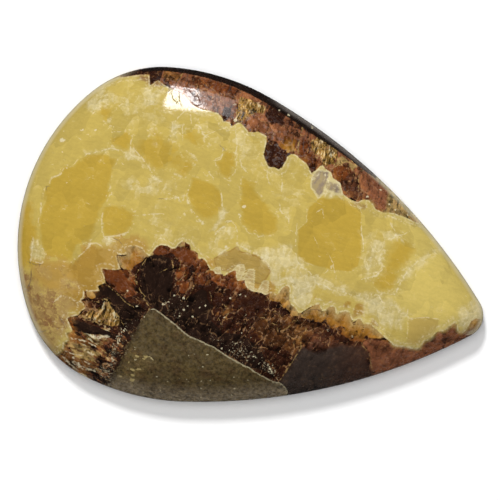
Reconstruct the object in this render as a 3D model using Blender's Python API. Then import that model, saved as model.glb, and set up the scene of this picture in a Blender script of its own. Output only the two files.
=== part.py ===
"""Pear cut calcite gemstone: a polished septarian cabochon, cut from one slab.

The stone is one solid with a flat back, an upright girdle, a rounded shoulder of the same
width all round, and a low crown. Its outline is a chain of arcs that run smoothly into each
other, from the middle of the round end, along one side, to the tip, and it is the same on
the other side of the long axis.

The origin is on the back, in the middle of the outline's box. +X points to the tip, and +Z
points out of the crown.
"""

import math

import bmesh
import bpy
from mathutils import Vector
from mathutils.geometry import intersect_point_line

MM = 0.001
NODE_NAME = "calcite_gemstone"

# Outline, seen from above. Each arc of the side is a radius and the angle it turns through,
# starting at the middle of the round end. The flank turns until it meets the tip's arc.
LENGTH = 42.0 * MM
ROUND_END = (17.6 * MM, math.radians(35.6))
CORNER = (9.9 * MM, math.radians(42.9))
WIDEST_PART = (20.7 * MM, math.radians(25.7))
FLANK_RADIUS = 51.8 * MM
TIP_RADIUS = 2.0 * MM
POINT_EVERY = math.radians(4.0)

# Section through the edge and over the crown
BACK_BEVEL = 0.35 * MM
GIRDLE_HEIGHT = 1.5 * MM
SHOULDER_WIDTH = 3.4 * MM
SHOULDER_RISE = 2.5 * MM
CROWN_RISE = 2.5 * MM
PEAK_X = -4.0 * MM
SHOULDER_RINGS = 9
CROWN_RINGS = 11

# Finish
CALCITE_COLOUR = (0.52, 0.38, 0.12, 1.0)
POLISH_ROUGHNESS = 0.12


def heading_vector(angle):
    """Return the unit vector that points along a heading, in the plane of the back."""
    return Vector((math.cos(angle), math.sin(angle)))


def arc_points(centre, radius, start, turn):
    """Return the points of an arc that turns clockwise, after its first one."""
    count = max(2, round(turn / POINT_EVERY))
    return [centre + radius * heading_vector(start - turn * step / count) for step in range(1, count + 1)]


def side_outline():
    """Return one side of the outline, from the middle of the round end to the tip."""
    points = [Vector((0.0, 0.0))]
    outward = math.pi
    for radius, turn in (ROUND_END, CORNER, WIDEST_PART):
        centre = points[-1] - radius * heading_vector(outward)
        points += arc_points(centre, radius, outward, turn)
        outward -= turn
    flank_centre = points[-1] - FLANK_RADIUS * heading_vector(outward)
    # The tip's centre is on the long axis, inside the flank's arc by the tip's radius.
    reach = FLANK_RADIUS - TIP_RADIUS
    tip_angle = math.asin(-flank_centre.y / reach)
    tip_centre = Vector((flank_centre.x + reach * math.cos(tip_angle), 0.0))
    points += arc_points(flank_centre, FLANK_RADIUS, outward, outward - tip_angle)
    points += arc_points(tip_centre, TIP_RADIUS, tip_angle, tip_angle)
    return points


def full_outline():
    """Return the closed outline, counter-clockwise, at its full length and centred along it."""
    side = side_outline()
    scale = LENGTH / side[-1].x
    upper = [Vector((point.x * scale - LENGTH / 2, point.y * scale)) for point in side]
    upper[0].y = 0.0
    upper[-1].y = 0.0
    lower = [Vector((point.x, -point.y)) for point in upper]
    return lower[:-1] + upper[:0:-1]


def edge_distance(point, outline):
    """Return how far a point inside the outline is from the nearest stretch of it."""
    nearest = LENGTH
    for start, end in zip(outline, outline[1:] + outline[:1]):
        foot, along = intersect_point_line(point, start, end)
        foot = start.lerp(end, min(1.0, max(0.0, along)))
        nearest = min(nearest, (point - foot).length)
    return nearest


def dome_height(spread, inset):
    """Return the height over the back, from the share of the way out and the way in from the edge."""
    across = max(0.0, 1.0 - inset / SHOULDER_WIDTH)
    shoulder = SHOULDER_RISE * math.sqrt(1.0 - across ** 2)
    crown = CROWN_RISE * (1.0 - spread ** 2)
    return GIRDLE_HEIGHT + shoulder + crown


def ring_spreads(nearest_edge):
    """Return each ring's share of the way from the peak to the edge, close together on the shoulder."""
    spreads = []
    for step in range(1, SHOULDER_RINGS + 1):
        inset = SHOULDER_WIDTH * (1.0 - math.cos(math.pi / 2 * step / SHOULDER_RINGS))
        spreads.append(1.0 - inset / nearest_edge)
    shoulder_end = spreads[-1]
    spreads += [shoulder_end * (1.0 - step / CROWN_RINGS) for step in range(1, CROWN_RINGS)]
    return spreads


def extrude_top(bm, face):
    """Extrude the top face in place, drop the old one, and return the new one."""
    extruded = bmesh.ops.extrude_face_region(bm, geom=[face])["geom"]
    bmesh.ops.delete(bm, geom=[face], context="FACES_ONLY")
    return next(item for item in extruded if isinstance(item, bmesh.types.BMFace))


def build_gemstone():
    """Build the stone's mesh from its outline, ring by ring, up to the peak."""
    outline = full_outline()
    peak = Vector((PEAK_X, 0.0))

    bm = bmesh.new()
    station = bm.verts.layers.int.new("station")
    rim = []
    for index, point in enumerate(outline):
        vertex = bm.verts.new((point.x, point.y, 0.0))
        vertex[station] = index
        rim.append(vertex)
    back = bm.faces.new(rim)

    girdle = bmesh.ops.extrude_face_region(bm, geom=[back], use_keep_orig=True)["geom"]
    top = next(item for item in girdle if isinstance(item, bmesh.types.BMFace))
    bmesh.ops.translate(bm, verts=top.verts, vec=(0.0, 0.0, GIRDLE_HEIGHT))

    for spread in ring_spreads(edge_distance(peak, outline)):
        top = extrude_top(bm, top)
        for vertex in top.verts:
            point = peak + spread * (outline[vertex[station]] - peak)
            height = dome_height(spread, edge_distance(point, outline))
            vertex.co = (point.x, point.y, height)

    fan = bmesh.ops.poke(bm, faces=[top])
    fan["verts"][0].co = (peak.x, peak.y, dome_height(0.0, SHOULDER_WIDTH))
    bmesh.ops.recalc_face_normals(bm, faces=bm.faces)

    bmesh.ops.bevel(
        bm, geom=list(back.edges), offset=BACK_BEVEL, offset_type="OFFSET", segments=2,
        profile=0.5, affect="EDGES", material=-1,
    )

    mesh = bpy.data.meshes.new(NODE_NAME)
    bm.to_mesh(mesh)
    bm.free()
    mesh.shade_smooth()
    mesh.set_sharp_from_angle(angle=math.radians(40.0))
    return mesh


def polished_calcite():
    """Return the stone's plain material."""
    material = bpy.data.materials.new("polished_calcite")
    material.use_nodes = True
    shader = material.node_tree.nodes["Principled BSDF"]
    shader.inputs["Base Color"].default_value = CALCITE_COLOUR
    shader.inputs["Roughness"].default_value = POLISH_ROUGHNESS
    shader.inputs["Metallic"].default_value = 0.0
    return material


def main():
    """Clear the scene and add the gemstone."""
    for scene_object in list(bpy.data.objects):
        bpy.data.objects.remove(scene_object, do_unlink=True)
    mesh = build_gemstone()
    mesh.materials.append(polished_calcite())
    gemstone = bpy.data.objects.new(NODE_NAME, mesh)
    bpy.context.scene.collection.objects.link(gemstone)


main()
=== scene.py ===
"""Dresses the pear cut calcite gemstone and sets up its studio.

The stone is a polished septarian cabochon. Yellow calcite with amber blocks and milky seams fills
the middle, brown to black aragonite crystals line it above and below, and an olive-brown mudstone
wedge sits at the lower edge. All of it is one smooth surface: the pattern is only colour, gloss
and a relief far too shallow to see from the side.

The pattern's places are in millimetres, seen from above, with +X towards the tip. Each shape and
line is one run of numbers: x and y of its first point, then of its second one, and so on.
"""

import math

import bmesh
import bpy
import numpy as np
from mathutils import Matrix, Vector


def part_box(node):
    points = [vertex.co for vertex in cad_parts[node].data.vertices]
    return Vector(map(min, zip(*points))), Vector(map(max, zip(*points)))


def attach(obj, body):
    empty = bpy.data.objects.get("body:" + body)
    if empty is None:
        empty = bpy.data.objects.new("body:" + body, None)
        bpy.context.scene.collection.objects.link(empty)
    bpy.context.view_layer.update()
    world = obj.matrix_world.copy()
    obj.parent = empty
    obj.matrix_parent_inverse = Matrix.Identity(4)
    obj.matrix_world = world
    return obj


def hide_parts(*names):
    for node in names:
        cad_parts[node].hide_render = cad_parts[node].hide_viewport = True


bl_info = {
    "name": "Pear Cut Calcite Gemstone",
    "version": (1, 0, 0),
    "blender": (4, 5, 0),
    "location": "View3D > Sidebar > Gemstone",
    "description": "Adds a polished septarian calcite cabochon and its studio",
    "category": "Add Mesh",
}

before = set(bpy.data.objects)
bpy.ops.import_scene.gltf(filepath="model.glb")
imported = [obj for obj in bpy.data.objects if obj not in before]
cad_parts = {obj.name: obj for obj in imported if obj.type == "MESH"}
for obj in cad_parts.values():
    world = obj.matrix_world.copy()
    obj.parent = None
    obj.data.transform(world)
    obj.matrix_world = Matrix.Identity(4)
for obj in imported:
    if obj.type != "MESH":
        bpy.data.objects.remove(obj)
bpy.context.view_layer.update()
CAD_LOW, CAD_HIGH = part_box("calcite_gemstone")
MM = 0.001
STONE_LENGTH = (CAD_HIGH.x - CAD_LOW.x) / MM
STONE_HEIGHT = (CAD_HIGH.z - CAD_LOW.z) / MM

# Outline: each arc of the side is a radius in mm and the angle it turns through, from the
# middle of the round end. The flank turns until it meets the tip's arc.
ROUND_END = (17.6, math.radians(35.6))
CORNER = (9.9, math.radians(42.9))
WIDEST_PART = (20.7, math.radians(25.7))
FLANK_RADIUS = 51.8
TIP_RADIUS = 2.0
OUTLINE_STEP = 0.25

# Mesh: cells across each grid, rings of the girdle and the bevel, the share of the crown's rows
# that are on the shoulder, and how far towards its rim the back's grid reaches
TOP_CELLS = 256
BACK_CELLS = 128
GIRDLE_RINGS = 4
BEVEL_RINGS = 3
SHOULDER_SHARE = 0.3
BACK_EDGE = 0.985

# Baked pictures: the gap round each part, and the lean up to which a face belongs to the back
BAKE_MARGIN = 0.006
BACK_FACING = -0.999

# Studio, in metres: what the polish reflects is given by its corners' bearings from +X and
# elevations in degrees
SOFTBOX_CORNERS = ((113.0, 60.0), (94.5, 57.5), (96.0, 18.0), (103.0, 18.0))
SIDE_PANEL_CORNERS = ((94.5, 57.5), (86.0, 54.0), (85.0, 16.0), (96.0, 18.0))
SOFTBOX_DISTANCE = 3.0
TABLE_HALF_WIDTH = 1.5
TABLE_WHITE = 0.95

# Brightness of the sky: at the horizon, from a fifth of the way up, and where the camera sees it
HORIZON_GLOW = 0.06
SKY_GLOW = 0.03
HORIZON_TOP = 0.2
SEEN_SKY = 0.9

# What the camera looks at, in mm: its height, and how far right and up it is of the stone's middle
FOCUS_HEIGHT = 1.5
FOCUS_RIGHT = -0.33
FOCUS_UP = 0.61
SENSOR_WIDTH = 36.0

# Under this height in mm the pattern's layers lean, so that the back shows them a little shifted
LEAN_HEIGHT = 2.4
BACK_SHIFT = (0.5, -0.9)

# Over a line that falls to the right, crystals grow in from the edge, with a grain of their own
UPPER_BAND_HEIGHT = 4.0
UPPER_BAND_FALL = 0.1
UPPER_GRAIN_START = 60.0

# Limits of what the mesh stores, in mm
DEPTH_LIMIT = 4.0
INSET_LIMIT = 5.0

# Finish: the side from which the painted shading makes facets look lit, the polish, and the relief under it
# in mm
FACET_LIGHT = (-0.5, 0.86, 0.0)
POLISH_ROUGHNESS = 0.05
REFRACTION = 1.55
RELIEF_STRENGTH = 0.5
RELIEF_DEPTH = 0.012

# Colours from the gaps between the fan's needles to the needles' middles
FAN_RAMP = (
    (0.39, "black"), (0.44, "umber"), (0.48, "chestnut"), (0.52, "copper"), (0.55, "stained"), (0.59, "tan"),
    (0.64, "cream"),
)

# Border between the calcite and the brown aragonite below it, from the lower left to the tip
LOWER_BORDER = (
    -15.4, -15.2, -14.5, -13.2, -13.9, -12.4, -14, -11.9, -13.6, -11.5, -14, -11, -13.5, -10.7,
    -13.9, -10.2, -14.3, -9.7, -13.7, -9.35, -13.4, -9.2, -13.25, -8.8, -12.95, -8.45, -13.2, -8.1,
    -13.6, -7.9, -13.25, -7.6, -13.5, -7, -12.95, -6.95, -12.15, -6.65, -12.45, -6.3, -12, -5.95,
    -11.9, -5.75, -12.1, -5.3, -12.55, -4.75, -11.9, -4.65, -11.3, -4.5, -10.9, -4.35, -11.3, -3.75,
    -11.6, -3.2, -11.1, -3.1, -10.7, -2.95, -11, -2.4, -10.3, -2.05, -9.6, -2.1, -9.2, -2.4, -8.75, -2.6,
    -8.4, -1.65, -8.1, -1.35, -7.5, -1.25, -7.1, -1.4, -6.75, -1.3, -6.55, -0.8, -6.3, -0.5, -5.9, -0.6,
    -5.6, -0.65, -5.45, -1.1, -5.1, -1.05, -4.75, -1.2, -4.6, -1.65, -4.2, -1.5, -3.9, -1.65, -3.6, -2,
    -3.3, -2.3, -3, -2.3, -2.8, -2.5, -2.2, -2.35, -2, -2.55, -1.75, -2.15, -1.45, -1.9, -1.2, -1.7,
    -1.05, -2.05, -0.85, -2.5, -0.55, -2.55, -0.2, -2.3, 0, -2.7, 0.3, -3, 0.9, -3.1, 1.5, -3, 2, -3.1,
    2.3, -2.75, 2.95, -2.9, 3.1, -2.3, 3.35, -1.9, 3.6, -1.7, 3.8, -1.95, 4.05, -2.9, 4.3, -3.3, 4.7, -3.4,
    5, -3.75, 5.25, -3.9, 5.5, -3.55, 5.9, -3.15, 6.2, -2.85, 6.7, -2.5, 6.85, -2.85, 7.1, -3.1, 7.4, -2.95,
    7.6, -2.55, 7.9, -2.4, 8.1, -2.55, 8.3, -2.95, 8.45, -3.1, 8.65, -2.75, 9.1, -2.5, 9.45, -2.6, 9.7, -3,
    10, -3.35, 10.25, -3, 10.45, -2.7, 10.65, -2.95, 10.85, -3.25, 11.1, -3.1, 11.4, -3.05, 12, -3.3,
    12.6, -3.6, 13.1, -3.85, 13.6, -4.05, 14.05, -4.35, 14.9, -4.1, 15.6, -4.1, 16.1, -4, 16.35, -3.7,
    16.45, -3.15, 16.85, -2.95, 17.1, -2.6, 17.25, -2.15, 17.5, -1.95, 17.95, -1.85, 18.2, -1.45,
    18.6, -0.75, 18.85, -1.1, 19.05, -1.5, 19.4, -1.65, 19.75, -1.35, 19.85, -0.9, 19.95, -0.35, 20.25, 0,
    20.7, 0.1, 24, 0.2,
)

# Border between the calcite and the brown band above it, from the right to the upper left
UPPER_BORDER = (
    15.5, 8.4, 13.8, 6.95, 13, 6.75, 12.4, 6.85, 11.6, 6.95, 10.6, 6.95, 9.9, 6.75, 9.2, 6.85, 8.9, 7.2,
    8.4, 7.45, 7.9, 7.35, 7.5, 7, 7, 7, 6.4, 7.2, 6.05, 7.35, 5.75, 7.95, 5.5, 8.25, 5.1, 8.35, 4.8, 8.5,
    4.55, 8.9, 4, 9.05, 3.7, 9.3, 3.45, 9.1, 3.25, 8.75, 2.95, 8.3, 2.7, 8.55, 2.4, 8.95, 2.1, 9.1,
    1.7, 9.25, 1.35, 9.45, 1.05, 9.55, 0.7, 9.45, 0.5, 9.2, 0.45, 8.7, 0.3, 8.15, 0.05, 7.85, -0.35, 7.95,
    -0.8, 7.8, -1.25, 8.3, -1.55, 8.7, -1.6, 9.5, -1.65, 10.1, -1.75, 10.4, -2.6, 10.6, -2.95, 10.4,
    -3.4, 10.35, -3.75, 10.6, -4.1, 10.85, -4.5, 10.9, -4.95, 10.35, -5.2, 10.7, -5.45, 10.7, -5.75, 10.6,
    -6, 10.95, -6.4, 11.2, -7.2, 11.2, -8, 11.15, -8.8, 11.3, -9.6, 11.9, -10.6, 12.1, -11.6, 12.35,
    -12.3, 12.65, -12.6, 12.3, -12.85, 11.9, -13, 12.4, -13.2, 12.95, -14, 12.7, -14.6, 12.45, -15.2, 12.2,
    -15.8, 12.05, -16.4, 11.6, -17, 11.05, -18.5, 11.3,
)
CALCITE_OUTLINE = LOWER_BORDER + (24, 9) + UPPER_BORDER + (-24, 11.5, -24, -16)

# Mudstone wedge, from its apex down the right border, under the edge and up the left border
MUDSTONE_OUTLINE = (
    -7.2, -6.95, -6.4, -7.15, -5.5, -7.5, -4.8, -7.8, -4.2, -8.1, -3.6, -8.35, -3, -8.45, -2.4, -8.5,
    -1.8, -8.65, -1.2, -8.7, -0.3, -9, 0.3, -9.2, 1, -9.35, 1.6, -9.5, 2.3, -9.6, 2.8, -9.8, 3.4, -9.95,
    4.6, -10.2, 5.2, -10.15, 5.7, -10.35, 6.05, -10.65, 6.1, -11, 6.6, -12.8, -2, -18, -9.6, -16.8,
    -9.35, -14.2, -9.1, -13.4, -8.9, -12.6, -8.75, -11.6, -8.6, -10.6, -8.45, -9.6, -8.1, -8.8, -7.95, -8.1,
    -7.6, -7.3,
)
# Pale line along its right border: width and points
MUD_LINE = ((0.1, -7.35, -7, -7.1, -6.9) + MUDSTONE_OUTLINE[2:44],)

# Where the crystals start to grow: round the wedge's apex and out from its two borders
WEDGE_APEX = (-7.3, -6.95)
WEDGE_RIGHT = math.radians(-15.0)
WEDGE_LEFT = math.radians(-104.8)
FAN_RADIUS = 4.0

# Patches of each colour in the calcite: softness in mm, strength and corners
CALCITE_PATCHES = {
    "straw": (
        (3, 1, 11, 9, 24, 5, 24, -5, 11, -3, 12.5, 2),
    ),
    "honey": (
        (1, 0.8, -24, -0.8, -19.8, -1, -18.6, -4, -17.5, -6.5, -24, -7),
    ),
    "amber": (
        (0.5, 1, -19, 1.9, -18.3, 2.2, -18.1, 3, -17.3, 3.3, -17, 4, -16.2, 4.6, -15.2, 5, -13.9, 4.9,
         -13.9, 3, -13.7, 1, -14.2, 0, -13.8, -1.4, -14, -2.6, -15, -3.3, -15.2, -4.8, -17.5, -4.9,
         -18.6, -3.5, -19, -1.5, -19.2, 0.3),
        (0.7, 1, -13.75, 0.8, -12, 1, -11, 0.7, -10.9, -0.6, -11.3, -1.2, -12.2, -1.8, -13.2, -1.9,
         -13.5, -0.9),
        (0.6, 0.9, -14.9, 7.05, -14.2, 7.3, -13.7, 7.5, -13.3, 7.2, -13.1, 6.9, -13.1, 6, -13.6, 5.7,
         -14.8, 6.2),
        (1.2, 0.8, -16.5, 8.4, -16.4, 9.5, -15.8, 9, -15.2, 9.2, -15.1, 8, -16, 7.8),
        (1.4, 0.8, -12.6, 7.4, -11, 7.9, -9, 7.6, -8, 6.8, -7.2, 6, -8, 5, -10.5, 5, -12.8, 5.6),
        (0.9, 0.8, -9, 9.2, -8.4, 9.4, -7.5, 8.9, -6.9, 8.5, -6.6, 8.2, -7, 7.9, -7.9, 7.9, -8.8, 8.2),
        (0.6, 1, -5.4, 8.4, -4.9, 8.2, -4, 8, -3.9, 7.3, -3.6, 6.6, -3.9, 5.9, -4.8, 6, -5.5, 7, -5, 7.3,
         -5, 8),
        (0.4, 1, -7.05, 5.05, -5.1, 5, -4.4, 4.75, -4.05, 4, -3.9, 3, -4.8, 2.6, -6.2, 2.6, -7.05, 3.5),
        (0.9, 0.8, -6.9, 3.4, -3.9, 3.4, -4.2, 1.9, -5.2, 1.7, -6.2, 1.9),
        (0.6, 0.9, -2.9, 6.4, -1.5, 6.1, -1.2, 5.5, -0.6, 5, 0.2, 4.3, 1.2, 3.7, 1.4, 2.6, 0, 1.7,
         -1.7, 2.4, -2.4, 4.2),
        (0.25, 1, 3.7, 4.1, 3.5, 5.4, 4.3, 6.4, 5.2, 6.7, 5.9, 7, 7.4, 6.7, 8, 6.2, 8.3, 5.2, 8.7, 4,
         9, 2.7, 9.1, 1.6, 8.4, 0.8, 6, 0.5, 4.4, 0.7, 3.6, 1.1, 3.1, 3.2),
        (0.9, 0.75, 11.8, 4.9, 13, 5.2, 13.6, 4.4, 13.2, 3.2, 12.9, 2, 12.8, 0.2, 11.6, -0.1, 10.2, 0.5,
         11.2, 1.6, 11.1, 3, 11.3, 4.2),
    ),
    "olive": (
        (0.25, 1, -3.3, -1.2, -2.8, -0.8, -2.1, -0.1, -1.6, 0.35, -1.2, 0, -0.5, 0.05, 0.2, 0.1, 1, -0.2,
         1.5, -0.6, 1.9, -0.95, 1.7, -1.6, 1.5, -2.3, 0, -2.6, -1, -2, -2.2, -2.1, -2.9, -2),
    ),
    "sand": (
        (1.2, 1, -18.6, -5.2, -15.3, -4.9, -14.8, -3.1, -13, -2.6, -11.4, -1.4, -9.4, -1, -8.4, -1.8,
         -10, -4, -12, -7, -13, -9.8, -15, -9.4, -18.8, -7.4),
        (0.5, 0.7, -4, -1.3, -3.2, -1.3, -2.6, -2.1, -3.6, -2.3),
        (0.4, 1.3, -0.9, -2, 0.6, -2, 2.6, -1.7, 2.6, -2.6, 0.6, -3, -0.9, -2.9),
    ),
    "beige": (
        (0.25, 1, 14.55, -1.65, 15.4, -1.35, 16.2, -1.1, 17.1, -1, 17.2, -1.6, 16.9, -2.7, 16.3, -3,
         16.2, -3.7, 15, -3.8, 14.8, -2.6),
    ),
    "ochre": (
        (1.1, 1, -15.1, -4.7, -14.6, -4.1, -14, -3, -12.9, -3, -12.7, -4.2, -13.1, -5.4, -13.6, -6.3,
         -14.6, -6.6, -15.3, -5.4),
        (1, 0.9, -13.6, -5.6, -12.6, -5.9, -12.9, -7.2, -12.8, -8.4, -13.6, -8.9, -15.4, -8.2, -15.6, -7.2,
         -14.4, -6.4),
        (0.5, 0.5, 9.5, -2.4, 9.9, -1.5, 10.35, -1.45, 10.7, -2.4, 10.4, -3, 9.9, -3.1),
        (0.6, 0.5, 6, -1.6, 7.6, -1.5, 9.6, -1.4, 9.5, -2.6, 8.4, -2.6, 6.4, -2.8),
        (0.5, 0.7, 1.3, -2, 2, -1.9, 2.4, -2.6, 3, -2.4, 3.2, -3, 1.2, -3.2),
        (0.5, 0.25, 12.9, -3.2, 15, -3.2, 16.2, -3.1, 16.2, -3.8, 14.2, -3.9),
        (0.4, 0.7, 11.5, -2.4, 12.1, -2.4, 12.3, -3.2, 11.5, -3.2),
    ),
    "milk": (
        (0.5, 1.3, 3.3, -0.7, 5.7, -0.6, 5.75, -2.7, 5.2, -3.5, 4.2, -3, 3.9, -1.8, 2.9, -1.4),
        (0.9, 0.7, 8.8, 4.8, 9.2, 3.8, 9.3, 2.2, 9.3, 0.9, 10.3, 0.6, 11.3, 1.8, 10.9, 3.2, 11, 4.4,
         12.1, 5.3, 11, 5.8, 10, 4.8),
        (0.7, 0.9, -1.8, 0.6, 0, 0.5, 1.4, 1.2, 3, 1.9, 3.7, 1, 5, 0.1, 7, -0.3, 10.5, -0.3, 12.5, -0.2,
         14.5, -1.4, 14.5, -3, 12.4, -3, 11, -2.4, 10.4, -1.3, 5.8, -1.2, 3, -0.8, 1.9, -0.7, 0.2, 0.1,
         -1.6, 0.3),
        (0.7, 0.25, -9.5, 10.9, -6, 10.6, -2, 10.3, -1.6, 8.4, 0.2, 8, 1.2, 9.6, 3, 8.2, 2.6, 7, 2.2, 5.4,
         2.6, 4, 2, 3.7, 1, 4.6, 0.2, 6, -1.4, 6.4, -2.9, 6.6, -3.6, 7.6, -4.2, 8.6, -6.5, 8.3, -7.4, 9.2,
         -8.2, 9.7),
        (0.5, 0.5, -13.4, 12.6, -12.4, 12.9, -11.4, 12.2, -11.8, 10, -13.2, 9.8),
        (0.5, 0.6, -10.2, 9.4, -9.6, 9.4, -9, 8.8, -8.8, 8.1, -9.1, 7.7, -10, 7.6),
        (0.6, 0.7, -16.9, 10.8, -15.2, 10.4, -15.3, 9.6, -15.9, 9.1, -16.4, 9.2, -16.8, 8.3, -18, 8.5,
         -17.9, 9.6),
        (1, 0.35, -15.2, 11.6, -9, 11, -10.4, 9.2, -12.8, 7.8, -13.4, 7.5, -15, 7.5, -15.4, 9.4),
        (0.5, 0.45, -16.8, 4.7, -15, 5.6, -13.4, 5.8, -12.6, 6.4, -11.6, 5.5, -10.2, 4.6, -12.8, 5.1,
         -14.6, 5.1),
        (0.9, 0.4, -10.6, 0.9, -9, 2.3, -8.6, 1.4, -7.4, 1.2, -6.9, 0.3, -5.2, 1, -4.6, 0.2, -6, -0.6,
         -8.2, -0.9, -9.4, -0.5, -10.8, 0.3),
        (0.9, 0.45, -12.4, 2, -10.6, 2.2, -7.6, 3.6, -7.8, 4.4, -10.4, 4.3, -12.6, 3.4),
        (0.4, 0.35, -4, 1.2, -3.2, 2.4, -2.6, 2.3, -2.2, 1.6, -1.8, 0.7, -2.1, -0.1, -2.9, -0.9, -4, -1.4,
         -4.6, -0.9, -4, 0.1),
        (0.3, 1, 1.7, -0.6, 2.6, -0.3, 2.9, -1.3, 3.3, -1.8, 2.9, -2.2, 2.2, -2.1, 1.9, -1.6),
        (0.6, 0.45, -14.3, -2.6, -13.2, -2, -12.4, -1.8, -11.2, -2.4, -11, -3.2, -12.8, -3, -14.2, -3.1),
        (0.4, 0.9, -4.3, 0.9, -3.9, 1, -3.2, 2, -3.1, 3, -3.8, 3.4, -3.9, 2.4),
        (0.3, 1.2, 4.9, -0.6, 5.4, -0.5, 5.9, -1.2, 5.8, -2.8, 5.4, -2.9, 5.2, -1.6),
        (0.3, 1.1, 10.4, -0.5, 11.4, -0.4, 12, -0.9, 11.8, -2.2, 10.9, -2.4, 10.6, -1.4),
        (0.3, 0.8, 12.6, -3.7, 13.4, -3.75, 14.2, -4, 15, -3.85, 16.2, -3.7, 16.6, -3, 17.6, -2.2, 18, -2.6,
         16, -4.6, 12.6, -4.3),
        # This patch at the tip is painted light on the shaded shoulder.
        (0.8, 1.2, 18.6, 0.3, 20, 2, 21.6, 1.2, 21.4, 0, 19.5, -1.3, 18.8, -0.9),
        (0.35, 0.9, -19.2, -3.8, -18.6, -3.8, -17.7, -4.9, -17.7, -5.6, -18.8, -5.7, -19.2, -4.8),
        (1.1, 1, 12.6, 0, 12.9, 1.6, 13.4, 2.8, 14.6, 4.4, 15.8, 5.4, 14.6, 3.6, 13.7, 2.4, 13.2, 0.8, 13, 0),
        (0.3, 1, 3.1, 8.6, 3.6, 9.3, 4.3, 9.1, 4.7, 8.6, 5.7, 8.3, 5.9, 7.7, 5.7, 7.2, 5.1, 6.5, 4.6, 6.7,
         4.2, 7, 4.2, 8.6),
    ),
    "grey_white": (
        (0.5, 0.9, 4.2, 8.2, 5.6, 8.2, 6.3, 7.3, 5.4, 6.9, 4.4, 7.2),
        (0.3, 1, 3.2, 8.6, 3.6, 9, 4.4, 8.9, 4.5, 8.2, 4.4, 7.4, 4.5, 7, 4.1, 6.4, 3.2, 7.1, 3, 8),
    ),
    "stained": (
        (0.5, 1, -14.6, 13.6, -14.2, 12.4, -12.9, 11.8, -11.8, 11.9, -11.6, 12.9, -12.6, 13.6),
        (0.4, 0.6, 7.2, 7.3, 8.6, 7, 8.3, 6.5, 7.2, 6.6),
        (1.2, 1, -19.4, -6.6, -17, -7.4, -14.6, -7.3, -13.4, -8.2, -13.8, -9.4, -14.2, -11, -14.2, -12.6,
         -15.5, -15, -20.5, -12),
        (1, 0.45, -19.4, -5.2, -14.6, -5.8, -12.9, -7.4, -14.5, -7.9, -18.6, -7.4),
    ),
    "tooth": (
        (0.1, 1, -1.6, -2.4, -1.35, -1.6, -1, -1.1, -0.65, -1, -0.35, -1.5, -0.5, -2.3, -0.8, -2.6),
        (0.1, 1, -0.3, -2.2, -0.1, -1.3, 0.4, -1.15, 0.6, -1.9, 0.9, -3.2, 0.3, -3.1),
        (0.1, 0.9, -3.2, -2.4, -2.9, -1.9, -2.5, -1.8, -2.2, -2.6),
        (0.1, 0.9, 1.1, -3.1, 1.4, -1.9, 1.9, -1.8, 2.1, -2.8),
    ),
}

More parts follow.
